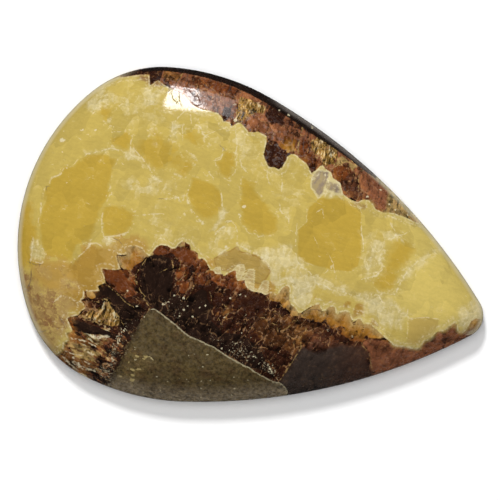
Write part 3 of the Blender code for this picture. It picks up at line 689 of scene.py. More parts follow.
class Dome:
    """The stone's shape: its outline, and its height and bake place over every point of it."""

    def __init__(self, sizes):
        self.sizes = sizes
        self.outline = pear_outline()
        self.peak = np.array((sizes.peak_x / MM, 0.0))
        spokes = self.outline - self.peak
        bearings = np.arctan2(spokes[:, 1], spokes[:, 0])
        order = np.argsort(bearings)
        turn = 2.0 * math.pi
        bearings = bearings[order]
        self.bearings = np.concatenate((bearings - turn, bearings, bearings + turn))
        self.reaches = np.tile(np.linalg.norm(spokes, axis=1)[order], 3)
        self.nearest = self.edge_distance(self.peak[None])[0]
        self.shoulder = sizes.shoulder_width / MM

    def edge_distance(self, points):
        """Return how far points inside the outline are from it."""
        return line_distance(points, closed(self.outline))

    def place(self, disc, spread_at):
        """Return where points of a unit disc go, in mm, their share of the way out and their bearing."""
        radius = np.linalg.norm(disc, axis=1)
        bearing = np.arctan2(disc[:, 1], disc[:, 0])
        spread = spread_at(radius)
        reach = np.interp(bearing, self.bearings, self.reaches) * spread
        places = self.peak + reach[:, None] * np.column_stack((np.cos(bearing), np.sin(bearing)))
        return places, spread, bearing

    def top_spread(self, radius):
        """Return the share of the way to the edge for rows that crowd on the shoulder."""
        shoulder_start = 1.0 - self.shoulder / self.nearest
        crown = radius / (1.0 - SHOULDER_SHARE) * shoulder_start
        climb = np.clip((radius - 1.0 + SHOULDER_SHARE) / SHOULDER_SHARE, 0.0, 1.0)
        shoulder = 1.0 - self.shoulder * (1.0 - np.sin(climb * math.pi / 2)) / self.nearest
        return np.where(radius < 1.0 - SHOULDER_SHARE, crown, shoulder)

    def height(self, spread, inset):
        """Return the height in mm over the back."""
        across = np.clip(1.0 - inset / self.shoulder, 0.0, 1.0)
        shoulder = self.sizes.shoulder_rise * np.sqrt(1.0 - across ** 2)
        crown = self.sizes.crown_rise * (1.0 - spread ** 2)
        return (self.sizes.girdle_height + shoulder + crown) / MM


def square_to_disc(vertices):
    """Return the places in a unit disc of a square grid's vertices, evenly spread."""
    square = np.array([vertex.co.xy for vertex in vertices])
    squeeze = np.sqrt(1.0 - 0.5 * square[:, ::-1] ** 2)
    return square * squeeze


def build_stone(dome):
    """Build the stone's mesh: a crown from a grid, the girdle extruded from it, and a back."""
    sizes = dome.sizes
    bm = bmesh.new()
    bake_spread = bm.verts.layers.float.new("bake_spread")
    bearing_layer = bm.verts.layers.float.new("bearing")

    crown = bmesh.ops.create_grid(bm, x_segments=TOP_CELLS, y_segments=TOP_CELLS, size=1.0)["verts"]
    places, spread, bearing = dome.place(square_to_disc(crown), dome.top_spread)
    inset = np.where(spread > 1.0 - 1e-6, 0.0, dome.edge_distance(places))
    heights = dome.height(spread, inset)
    across = np.clip(1.0 - inset / dome.shoulder, 0.0, 1.0)
    climb = np.arcsin(across) * (dome.shoulder + sizes.shoulder_rise / MM) / 2.0
    growth = np.where(across > 0.0, climb - across * dome.shoulder, 0.0)
    spreads = spread + growth / dome.nearest
    for vertex, place, height, share, angle in zip(crown, places, heights, spreads, bearing):
        vertex.co = (place[0] * MM, place[1] * MM, height * MM)
        vertex[bake_spread] = share
        vertex[bearing_layer] = angle

    rim = [edge for edge in bm.edges if edge.is_boundary]
    bevel = sizes.back_bevel / MM
    girdle = sizes.girdle_height / MM
    girdle_steps = range(1, GIRDLE_RINGS + 1)
    levels = [(0.0, girdle + (bevel - girdle) * step / GIRDLE_RINGS) for step in girdle_steps]
    for step in range(1, BEVEL_RINGS + 1):
        angle = math.pi / 2 * step / BEVEL_RINGS
        levels.append((bevel * (1.0 - math.cos(angle)), bevel * (1.0 - math.sin(angle))))
    drop = 0.0
    last = (0.0, girdle)
    for pulled_in, level in levels:
        drop += math.hypot(pulled_in - last[0], level - last[1]) / dome.nearest
        last = (pulled_in, level)
        made = bmesh.ops.extrude_edge_only(bm, edges=rim)["geom"]
        rim = [item for item in made if isinstance(item, bmesh.types.BMEdge)]
        for vertex in (item for item in made if isinstance(item, bmesh.types.BMVert)):
            angle = vertex[bearing_layer]
            reach = np.interp(angle, dome.bearings, dome.reaches) * (1.0 - pulled_in / dome.nearest)
            vertex.co.x = (dome.peak[0] + reach * math.cos(angle)) * MM
            vertex.co.y = (dome.peak[1] + reach * math.sin(angle)) * MM
            vertex.co.z = level * MM
            vertex[bake_spread] = 1.0 + growth.max() / dome.nearest + drop

    back = bmesh.ops.create_grid(bm, x_segments=BACK_CELLS, y_segments=BACK_CELLS, size=1.0)["verts"]
    edge_share = (1.0 - bevel / dome.nearest) * BACK_EDGE
    places, spread, bearing = dome.place(square_to_disc(back), lambda radius: radius * edge_share)
    for vertex, place in zip(back, places):
        vertex.co = (place[0] * MM, place[1] * MM, 0.0)
        vertex[bake_spread] = -1.0
    back_faces = {face for vertex in back for face in vertex.link_faces}
    bmesh.ops.reverse_faces(bm, faces=list(back_faces))
    back_rim = [edge for edge in bm.edges if edge.is_boundary and edge.link_faces[0] in back_faces]
    bmesh.ops.bridge_loops(bm, edges=rim + back_rim)
    bmesh.ops.recalc_face_normals(bm, faces=bm.faces)
    for face in bm.faces:
        face.smooth = True
        face.material_index = 0

    mesh = bpy.data.meshes.new("polished_calcite_stone")
    bm.to_mesh(mesh)
    bm.free()
    return mesh


def vertex_places(mesh):
    """Return where the mesh's vertices are, in mm."""
    flat = np.empty(len(mesh.vertices) * 3)
    mesh.vertices.foreach_get("co", flat)
    return flat.reshape(-1, 3) / MM


def lay_out_bake(mesh, dome):
    """Give the mesh the UV map that its baked pictures use: crown and girdle above, back below."""
    layout = mesh.uv_layers.new(name="OFBake")
    corners = np.empty(len(mesh.loops), dtype=np.int32)
    mesh.loops.foreach_get("vertex_index", corners)
    places = vertex_places(mesh)
    spreads = np.empty(len(mesh.vertices))
    mesh.attributes["bake_spread"].data.foreach_get("value", spreads)
    bearing = np.arctan2(places[:, 1] - dome.peak[1], places[:, 0] - dome.peak[0])
    reach = np.interp(bearing, dome.bearings, dome.reaches) * spreads
    top = dome.peak + reach[:, None] * np.column_stack((np.cos(bearing), np.sin(bearing)))
    top_low, top_high = top[spreads >= 0.0].min(axis=0), top[spreads >= 0.0].max(axis=0)
    back_low, back_high = places[:, :2].min(axis=0), places[:, :2].max(axis=0)

    top_scale = (1.0 - 2.0 * BAKE_MARGIN) / (top_high[0] - top_low[0])
    back_room = 1.0 - 3.0 * BAKE_MARGIN - top_scale * (top_high[1] - top_low[1])
    back_scale = back_room / (back_high[1] - back_low[1])
    top_places = (top - top_low) * top_scale + BAKE_MARGIN
    back_places = (places[:, :2] - back_low) * back_scale
    back_places[:, 0] = BAKE_MARGIN + (back_high[0] - back_low[0]) * back_scale - back_places[:, 0]
    back_places[:, 1] += 1.0 - BAKE_MARGIN - back_room

    flat = np.empty(len(mesh.polygons) * 3)
    mesh.polygons.foreach_get("normal", flat)
    is_back = flat.reshape(-1, 3)[:, 2] < BACK_FACING
    sides = np.empty(len(mesh.polygons), dtype=np.int32)
    mesh.polygons.foreach_get("loop_total", sides)
    corner_is_back = np.repeat(is_back, sides)
    chosen = np.where(corner_is_back[:, None], back_places[corners], top_places[corners])
    layout.data.foreach_set("uv", chosen.ravel())


def grain_places(points, inset):
    """Return how far along and how far out each point is in the crystals that grew there."""
    offset = points - np.array(WEDGE_APEX)
    right = np.array((math.cos(WEDGE_RIGHT), math.sin(WEDGE_RIGHT)))
    left = np.array((math.cos(WEDGE_LEFT), math.sin(WEDGE_LEFT)))
    along_right = offset @ right
    along_left = offset @ left
    by_right = along_right > 0.0
    by_left = (along_left > 0.0) & (offset[:, 0] < 0.0)
    quarter = math.pi / 2
    fan_start = WEDGE_RIGHT + quarter
    fan_turn = WEDGE_LEFT + 1.5 * math.pi - fan_start
    bearing = np.mod(np.arctan2(offset[:, 1], offset[:, 0]) + quarter, 2.0 * math.pi) - quarter
    fan_angle = np.clip(bearing - fan_start, 0.0, fan_turn)
    along = np.where(by_right, along_right, -FAN_RADIUS * fan_angle)
    along = np.where(by_left, -FAN_RADIUS * fan_turn - along_left, along)
    out = np.where(by_right, offset @ np.array((-right[1], right[0])), np.linalg.norm(offset, axis=1))
    out = np.where(by_left, offset @ np.array((left[1], -left[0])), out)
    upper = points[:, 1] > UPPER_BAND_HEIGHT - UPPER_BAND_FALL * points[:, 0]
    along = np.where(upper, points[:, 0] + UPPER_GRAIN_START, along)
    out = np.where(upper, inset, out)
    return np.column_stack((along, out, np.zeros(len(points))))


def paint_pattern(mesh, dome):
    """Write where the pattern's zones, borders, lines and crystals are on the mesh as attributes."""
    places = vertex_places(mesh)
    lean = soft_step((LEAN_HEIGHT - places[:, 2]) / LEAN_HEIGHT)[:, None] * np.array(BACK_SHIFT)
    points = places[:, :2] + lean
    x, y = points.T
    inset = dome.edge_distance(places[:, :2])

    def store(name, values):
        kind, field = ("FLOAT", "value") if values.ndim == 1 else ("FLOAT_VECTOR", "vector")
        attribute = mesh.attributes.new(name, kind, "POINT")
        attribute.data.foreach_set(field, np.ascontiguousarray(values, dtype=np.float32).ravel())

    for layer, patches in (("calcite", CALCITE_PATCHES), ("brown", BROWN_PATCHES)):
        for name, cover in zone_covers(points, patches).items():
            store(f"{layer}_{name}", cover)
    for name, outline in (("calcite_depth", CALCITE_OUTLINE), ("mudstone_depth", MUDSTONE_OUTLINE)):
        store(name, np.clip(depth_inside(points, outline), -DEPTH_LIMIT, DEPTH_LIMIT))
    for name, lines in (
            ("seams", CALCITE_SEAMS), ("pale_cracks", PALE_CRACKS), ("dark_cracks", DARK_CRACKS),
            ("mud_line", MUD_LINE)):
        store(name, line_fields(points, lines))
    store("pale_spots", spot_field(points, PALE_SPOTS))
    store("inset", np.minimum(inset, INSET_LIMIT))
    store("grain", grain_places(points, inset))

    # Painted dark reflection: a black rim is painted along the upper edge's steep shoulder, widest in its
    # middle.
    rim_width = np.clip(np.minimum(0.76 + 0.025 * x, 0.95 - 0.07 * x), 0.2, 0.8)
    top_rim = np.clip((rim_width - inset) / 0.3 + 0.5, 0.0, 1.0) * (y > 0.0)
    store("top_rim", top_rim * soft_step((x + 15.0) / 2.0) * soft_step((10.0 - x) / 3.0))
    # Painted reflection of the white table: the girdle is painted pale at the round end, along the upper side
    # towards the tip, and round the tip, where it also lifts the shoulder's shade.
    table_reflection_edge = soft_step((-14.0 - x) / 3.0) + soft_step((x + 3.0) / 3.0) * (y > -1.5 * (x > 18.0))
    table_reflection_edge *= soft_step((places[:, 2] - 1.0) / 0.6)
    store("pale_rim", np.clip((0.5 - inset) / 0.35, 0.0, 1.0) * table_reflection_edge)


class Graph:
    """A node tree, with one method that adds any node. Colours can be given by their names."""

    def __init__(self, tree, colours=None):
        self.tree = tree
        self.colours = colours

    def add(self, kind, settings=None, inputs=None, output=0):
        """Add a node, set it up, fill or link its sockets, and return one of its outputs."""
        node = self.tree.nodes.new(kind)
        for name, value in (settings or {}).items():
            if name == "stops":
                self.set_stops(node.color_ramp, value)
            else:
                setattr(node, name, value)
        for key, value in (inputs or {}).items():
            if isinstance(value, Value):
                self.tree.links.new(value.socket, node.inputs[key])
            elif isinstance(value, str):
                node.inputs[key].default_value = self.colours[value]
            else:
                node.inputs[key].default_value = value
        return Value(self, node.outputs[output])

    def set_stops(self, ramp, stops):
        """Give a colour ramp its stops."""
        while len(ramp.elements) < len(stops):
            ramp.elements.new(1.0)
        for element, (position, colour) in zip(ramp.elements, stops):
            element.position = position
            element.color = self.colours[colour]

    def attribute(self, name, output=2):
        """Return one of the mesh's attributes: output 0 is a colour, 1 a vector and 2 a number."""
        return self.add("ShaderNodeAttribute", {"attribute_name": name}, {}, output)

    def noise(self, place, scale, detail=3.0, roughness=0.55, output=0):
        """Return smooth noise from 0 to 1."""
        inputs = {"Vector": place, "Scale": scale, "Detail": detail, "Roughness": roughness}
        return self.add("ShaderNodeTexNoise", {}, inputs, output)

    def cells(self, place, scale, output=0, feature="F1", metric="EUCLIDEAN"):
        """Return a cell pattern: output 0 is a distance and 1 a colour for each cell."""
        settings = {"feature": feature, "distance": metric}
        return self.add("ShaderNodeTexVoronoi", settings, {"Vector": place, "Scale": scale}, output)

    def strands(self, place, angle, along, across, detail=3.0, roughness=0.55):
        """Return smooth noise drawn out at an angle."""
        return self.noise(self.turned(place, angle, along, across), 1.0, detail, roughness)

    def facets(self, place, angle, along, across, metric="CHEBYCHEV"):
        """Return a mosaic of facets: each one's tone, how far inside it a place is, and a painted shade
        across it, lighter towards FACET_LIGHT.
        """
        place = self.turned(place, angle, along, across)
        first = self.cells(place, 1.0, metric=metric)
        gap = self.cells(place, 1.0, feature="F2", metric=metric) - first
        tone = self.channel(first.sibling(1), 0)
        offset = self.vector("SUBTRACT", place, first.sibling(2))
        return tone, gap, self.vector("DOT_PRODUCT", offset, FACET_LIGHT, 1)

    def turned(self, place, angle, along, across):
        """Return a place turned by an angle and stretched."""
        inputs = {0: place, 2: (0.0, 0.0, angle), 3: (along, across, 1.0)}
        return self.add("ShaderNodeMapping", {"vector_type": "POINT"}, inputs)

    def bent(self, place, scale, reach, detail=3.0):
        """Return a place moved by smooth noise."""
        shift = self.vector("SUBTRACT", self.noise(place, scale, detail, output=1), (0.5, 0.5, 0.5))
        return self.vector("ADD", place, self.scale(shift, 2.0 * reach))

    def line(self, name, wander):
        """Return the thin lines of one kind, 1 in their middles, with crooked edges from a noise."""
        fields = self.attribute(name, 1)
        side, near, width = (self.add("ShaderNodeSeparateXYZ", {}, {0: fields}, axis) for axis in range(3))
        width = (width * (3.0 * wander - 0.5)).most(0.02)
        crooked = abs(side + 0.3 * (wander - 0.5)) / width
        return self.ease(crooked, 0.8, 0.2) * self.ease(near, 0.24, 0.14)

    def ease(self, value, low, high, start=0.0, end=1.0):
        """Return a smooth step from start to end as the value goes from low to high."""
        settings = {"interpolation_type": "SMOOTHSTEP"}
        return self.add("ShaderNodeMapRange", settings, {0: value, 1: low, 2: high, 3: start, 4: end})

    def mix(self, share, first, second):
        """Return a mix of two colours."""
        settings = {"data_type": "RGBA", "blend_type": "MIX", "clamp_factor": True}
        return self.add("ShaderNodeMix", settings, {0: share, 6: first, 7: second}, 2)

    def scale(self, colour, amount):
        """Return a colour or vector times a number."""
        return self.add("ShaderNodeVectorMath", {"operation": "SCALE"}, {0: colour, 3: amount})

    def vector(self, operation, first, second, output=0):
        """Return what comes of two vectors."""
        return self.add("ShaderNodeVectorMath", {"operation": operation}, {0: first, 1: second}, output)

    def channel(self, colour, index):
        """Return one channel of a colour."""
        return self.add("ShaderNodeSeparateColor", {}, {0: colour}, index)


class Value:
    """A node's output that adds Math nodes when it is used in an expression."""

    def __init__(self, graph, socket):
        self.graph = graph
        self.socket = socket

    def sibling(self, output):
        """Return another output of the same node."""
        return Value(self.graph, self.socket.node.outputs[output])

    def math(self, operation, first, second=0.0):
        """Add a Math node on two values."""
        return self.graph.add("ShaderNodeMath", {"operation": operation}, {0: first, 1: second})

    def __add__(self, other):
        return self.math("ADD", self, other)

    __radd__ = __add__

    def __sub__(self, other):
        return self.math("SUBTRACT", self, other)

    def __rsub__(self, other):
        return self.math("SUBTRACT", other, self)

    def __mul__(self, other):
        return self.math("MULTIPLY", self, other)

    __rmul__ = __mul__

    def __truediv__(self, other):
        return self.math("DIVIDE", self, other)

    def __abs__(self):
        return self.math("ABSOLUTE", self)

    def least(self, other):
        """Return the smaller of this and another value."""
        return self.math("MINIMUM", self, other)

    def most(self, other):
        """Return the larger of this and another value."""
        return self.math("MAXIMUM", self, other)


def calcite_pattern(graph, place):
    """Return the calcite's colour: soft blocks, feathery milk, stained veins and thin seams."""
    depth = graph.attribute("calcite_depth")
    near_brown = graph.ease(depth, 1.2, 0.1)
    bent = graph.bent(place, 1.1, 0.4)
    cloud = graph.noise(place, 0.8, 6.0, 0.62)
    fine = graph.noise(place, 4.0, 3.0, 0.65)
    straight = graph.bent(place, 0.7, 0.3, 1.0)
    block_tone, _, block_painted_shade = graph.facets(straight, 0.3, 0.5, 0.4)
    shard_tone, shard_gap, shard_painted_shade = graph.facets(straight, -0.5, 1.1, 1.5)
    feather = graph.strands(bent, 0.9, 3.0, 1.0, 2.0, 0.5)
    streak = graph.strands(bent, -0.14, 0.7, 5.0, 3.0, 0.6)
    soft = graph.noise(place, 0.8, 2.0, 0.5)
    crinkle = 0.9 * (soft - 0.5) + 0.3 * (block_tone - 0.5) + 0.5 * (shard_tone - 0.5)
    crinkle = crinkle + 0.3 * (feather - 0.5) + 0.3 * (cloud - 0.5)
    stain_tone, stain_gap, _ = graph.facets(graph.bent(place, 1.3, 0.7), 0.4, 0.9, 1.2)

    def zone(name, low=0.2, high=1.0):
        return graph.ease(graph.attribute(f"calcite_{name}") + crinkle, low, high)

    colour = graph.mix(zone("straw"), "plain", "straw")
    colour = graph.mix(zone("honey"), colour, "honey")
    colour = graph.mix(zone("amber"), colour, "amber")
    colour = graph.mix(zone("beige"), colour, "beige")
    sand = zone("sand")
    colour = graph.mix(sand, colour, "sand")
    for name in ("olive", "ochre"):
        colour = graph.mix(zone(name, 0.35, 0.7), colour, name)
    olive_rim = graph.ease(abs(graph.attribute("calcite_olive") + crinkle - 0.9), 0.35, 0.05)
    colour = graph.mix(0.6 * olive_rim, colour, "gold")
    border_milk = 0.5 * near_brown * (1.0 - 0.7 * sand)
    milky = (graph.attribute("calcite_milk") + crinkle).most(border_milk).most(0.0)
    plume = feather + 0.2 * (shard_tone - 0.5) + 0.1 * (fine - 0.5) + 0.3 * (streak - 0.5)
    milk = graph.ease(milky, 0.15, 1.1) * graph.ease(plume, 0.3, 0.7, 0.35, 0.9)
    milk = milk.most(0.9 * graph.ease(milky, 1.2, 1.6))
    colour = graph.mix(milk, colour, "milk")
    grey_piece = graph.attribute("calcite_grey_white") + 0.8 * crinkle
    grey = graph.mix(graph.ease(feather, 0.35, 0.6), "smear", "grey_white")
    grey = graph.mix(graph.ease(grey_piece, 1.1, 0.7), grey, "milk")
    colour = graph.mix(graph.ease(grey_piece, 0.3, 0.6), colour, grey)
    tooth = graph.attribute("calcite_tooth")
    pale_tooth = graph.mix(graph.ease(streak, 0.4, 0.6, 0.2, 0.7), "tan", "milk")
    colour = graph.mix(graph.ease(tooth, 0.3, 0.7), colour, pale_tooth)
    colour = graph.mix(0.8 * graph.ease(abs(tooth - 0.7), 0.6, 0.1), colour, "milk")

    stain = graph.noise(bent, 1.2, 4.0, 0.65) + 0.3 * (stain_tone - 0.5)
    vein = graph.ease(stain_gap, 0.12, 0.03) * graph.ease(fine, 0.42, 0.55)
    stained = graph.mix(graph.ease(stain, 0.46, 0.6), "tan", "stained")
    stained = graph.mix(0.5 * graph.ease(stain, 0.6, 0.68), stained, "chestnut")
    stained = graph.mix(0.5 * vein, stained, "straw")
    colour = graph.mix(zone("stained"), colour, stained)

    dash = graph.strands(bent, 0.5, 1.6, 8.0, 2.0)
    dashes = graph.ease(dash, 0.66, 0.74) * graph.ease(cloud, 0.45, 0.6)
    colour = graph.mix(0.5 * dashes, colour, "cream")
    band = graph.ease(abs(depth - 0.4 - 1.2 * (cloud - 0.5)), 0.12, 0.0) * graph.ease(fine, 0.45, 0.6)
    colour = graph.mix(0.5 * band, colour, "cream")
    outline = graph.ease(abs(graph.attribute("calcite_amber") + crinkle - 0.35), 0.16, 0.02)
    outline = outline * graph.ease(fine + 1.2 * (cloud - 0.5), 0.48, 0.66)
    colour = graph.mix(0.38 * outline, colour, "cream")

    broken = milky.least(0.9).most(0.15)
    # Painted shade: each block and shard is lighter on its side towards FACET_LIGHT.
    tone = 1.0 + 0.06 * block_painted_shade + 0.14 * (block_tone - 0.5) + 0.2 * (cloud - 0.5)
    tone = tone + (0.25 + 0.6 * zone("olive", 0.35, 0.7)) * (streak - 0.5)
    tone = tone + broken * (0.1 * (shard_tone - 0.5) + 0.12 * shard_painted_shade + 0.3 * (feather - 0.5))
    tone = tone + (0.15 + 0.3 * broken) * (fine - 0.5)
    colour = graph.scale(colour, tone)
    facet = graph.ease(shard_gap, 0.09, 0.02) * graph.ease(fine + 0.5 * (feather - 0.5), 0.45, 0.56)
    colour = graph.mix(0.35 * facet * milky.least(1.0), colour, "cream")
    sparkle = graph.ease(fine + 0.3 * (feather - 0.5), 0.58, 0.68) * milk
    colour = graph.mix(0.3 * sparkle, colour, "cream")
    seams = graph.line("seams", fine) * graph.ease(fine + 0.8 * (cloud - 0.5), 0.4, 0.55)
    return graph.mix(0.5 * seams, colour, "cream")


def aragonite_pattern(graph, place, grain):
    """Return the aragonite's colour: crystals that grew out from the mudstone, with pale edges."""
    depth = graph.attribute("calcite_depth")
    cloud = graph.noise(place, 1.1, 4.0, 0.6)
    grit = graph.noise(place, 3.4, 3.0, 0.65)
    crystals = graph.bent(grain, 1.0, 0.3)
    crystal_tone, crystal_gap, crystal_painted_shade = graph.facets(crystals, 0.0, 1.3, 0.8, "EUCLIDEAN")
    chips = graph.bent(place, 2.0, 0.15)
    chip_tone, chip_gap, chip_painted_shade = graph.facets(chips, 0.6, 2.2, 1.8, "MANHATTAN")
    ray = graph.strands(graph.bent(grain, 0.9, 0.3), 0.0, 2.8, 0.7, 4.0, 0.65)
    crinkle = 0.4 * (crystal_tone - 0.5) + 0.3 * (chip_tone - 0.5) + 0.7 * (cloud - 0.5)

    def zone(name, low=0.38, high=0.62):
        return graph.ease(graph.attribute(f"brown_{name}") + crinkle, low, high)

    root = graph.ease(graph.attribute("mudstone_depth"), -2.2, -0.8)
    fan = (graph.attribute("brown_fan").most(0.0) - 0.5 * root).least(1.0)
    streak = graph.strands(graph.bent(grain, 0.8, 0.35), 0.0, 2.3, 0.5, 4.0, 0.65)
    needle = streak + 0.025 + 0.15 * (grit - 0.5) - 0.12 * root
    fan_colour = graph.add("ShaderNodeValToRGB", {"stops": FAN_RAMP}, {0: needle})

    colour = graph.mix(zone("chestnut"), "umber", "chestnut")
    colour = graph.mix(graph.ease(fan + crinkle, 0.35, 0.65), colour, fan_colour)
    for name in ("rust", "brown", "copper", "tan", "plum", "umber", "black", "gold"):
        colour = graph.mix(zone(name), colour, name)
    ragged_depth = depth + 0.6 * (ray - 0.5)
    bright = graph.mix(graph.ease(ragged_depth, -0.7, 0.0), "orange", "tan")
    bright = graph.mix(0.85 * graph.ease(ragged_depth, -0.7, -1.5), bright, "rust")
    colour = graph.mix(zone("orange"), colour, bright)
    colour = graph.mix(zone("russet", 0.1, 0.9), colour, "russet")
    colour = graph.mix(zone("dark_red", 0.0, 1.0), colour, "dark_red")
    warmth = graph.ease(graph.channel(place, 0), 8.0, 12.0, 0.0, 0.4)
    slate = graph.mix(warmth, "slate", "dark_red")
    colour = graph.mix(zone("slate", 0.0, 1.1), colour, slate)
    calm = 0.9 * zone("slate") + 0.4 * zone("russet") + 0.4 * zone("orange") + 0.5 * zone("umber")
    calm = calm + 0.5 * zone("plum") + 0.9 * zone("calm", 0.2, 0.8)
    rough = 1.0 - calm.least(0.85)
    dark = zone("black")

    # Painted shade: each crystal and chip is lighter on its side towards FACET_LIGHT.
    level = 0.5 * (crystal_tone - 0.5) + 0.5 * crystal_painted_shade + 0.4 * (chip_tone - 0.5) + 0.4 * chip_painted_shade
    level = level + 1.6 * (cloud - 0.5) + 0.8 * (grit - 0.5) + 2.2 * (ray - 0.5)
    tooth = graph.ease(depth, -0.6, -0.05) * graph.ease(level, -0.2, 0.3)
    lit = tooth.most(0.35 * graph.ease(level, 0.25, 0.7) * (1.0 - dark)) * rough
    colour = graph.mix(0.45 * lit, colour, graph.mix(0.4, "orange", "rust"))
    pale_side = graph.ease(ray + 0.5 * (cloud - 0.5), 0.42, 0.5)
    shade = graph.ease(crystal_gap, 0.0, 0.12, 0.35, 1.0) * graph.ease(chip_gap, 0.0, 0.12, 0.6, 1.0)
    shade = shade.most(0.85 * pale_side)
    tone = 0.95 + (0.3 + 0.7 * rough) * level
    colour = graph.scale(colour, tone.most(0.2) * (1.0 - rough * (1.0 - shade)))
    fibre = graph.strands(graph.bent(place, 1.0, 0.3), 0.2, 5.0, 1.0, 4.0, 0.7)
    golden = zone("gold")
    colour = graph.scale(colour, 1.0 + golden * (8.0 * (fibre - 0.53)).most(-0.92))
    colour = graph.mix(0.6 * golden * graph.ease(fibre, 0.56, 0.62), colour, "cream")
    edge = graph.ease(crystal_gap, 0.08, 0.01)
    edge = edge.most(graph.ease(chip_gap, 0.07, 0.01) * graph.ease(chip_tone, 0.3, 0.6))
    edge = edge * graph.ease(grit + 0.5 * (cloud - 0.5), 0.46, 0.56) * pale_side * rough
    colour = graph.mix((0.6 - 0.35 * dark) * edge, colour, graph.mix(0.1, "pink", "cream"))

    density = graph.attribute("brown_specks").most(0.0).least(1.2)
    speck = graph.noise(place, 5.4, 3.0, 0.75)
    specks = graph.ease(speck - 0.77 + 0.18 * density + 0.4 * (cloud - 0.5), 0.0, 0.04) * rough
    specks = specks * (0.3 + 0.7 * chip_tone)
    colour = graph.mix(specks, colour, graph.mix(chip_tone, "mud_rim", "cream"))
    lines = graph.line("pale_cracks", grit) * graph.ease(grit, 0.42, 0.56)
    return graph.mix(0.7 * lines, colour, graph.mix(fan, "tan", "cream"))


def mudstone_pattern(graph, place):
    """Return the mudstone's colour: fine grained, with pale and golden specks."""
    grit = graph.noise(place, 3.2, 4.0, 0.8)
    broad = graph.noise(place, 0.6, 3.0)
    colour = graph.mix(graph.ease(broad, 0.35, 0.7), "mudstone", "grey_mud")
    scratch = graph.strands(place, 0.27, 1.0, 8.0, 3.0)
    tint = graph.noise(graph.turned(place, 0.3, 1.0, 1.6), 0.9, 4.0, 0.7)
    colour = graph.mix(graph.ease(tint, 0.45, 0.65, 0.0, 0.35), colour, "umber")
    # Painted light: the mudstone is painted paler towards the edge, a painted reflection that also lifts the
    # lower shoulder's shade.
    edge = graph.ease(graph.attribute("inset"), 1.7, 0.1)
    colour = graph.mix(edge, colour, "pale_mud")
    flakes = graph.attribute("brown_flakes").most(0.0).least(1.0)
    colour = graph.scale(colour, 1.0 + 0.3 * flakes)
    colour = graph.scale(colour, (4.4 * grit - 1.1 + 2.0 * edge * (scratch - 0.5)).most(0.3))
    dashes = graph.turned(graph.bent(place, 2.5, 0.25), 0.9, 1.0, 1.7)
    chosen = graph.channel(graph.cells(dashes, 1.6, output=1), 1)
    size = 0.09 + 0.24 * flakes
    specks = graph.ease(graph.cells(dashes, 1.6) - size, 0.08, 0.0)
    specks = specks * graph.ease(0.4 + 0.5 * flakes - chosen, 0.0, 0.08)
    return graph.mix(0.65 * specks, colour, graph.mix(flakes, "cream", "flake"))


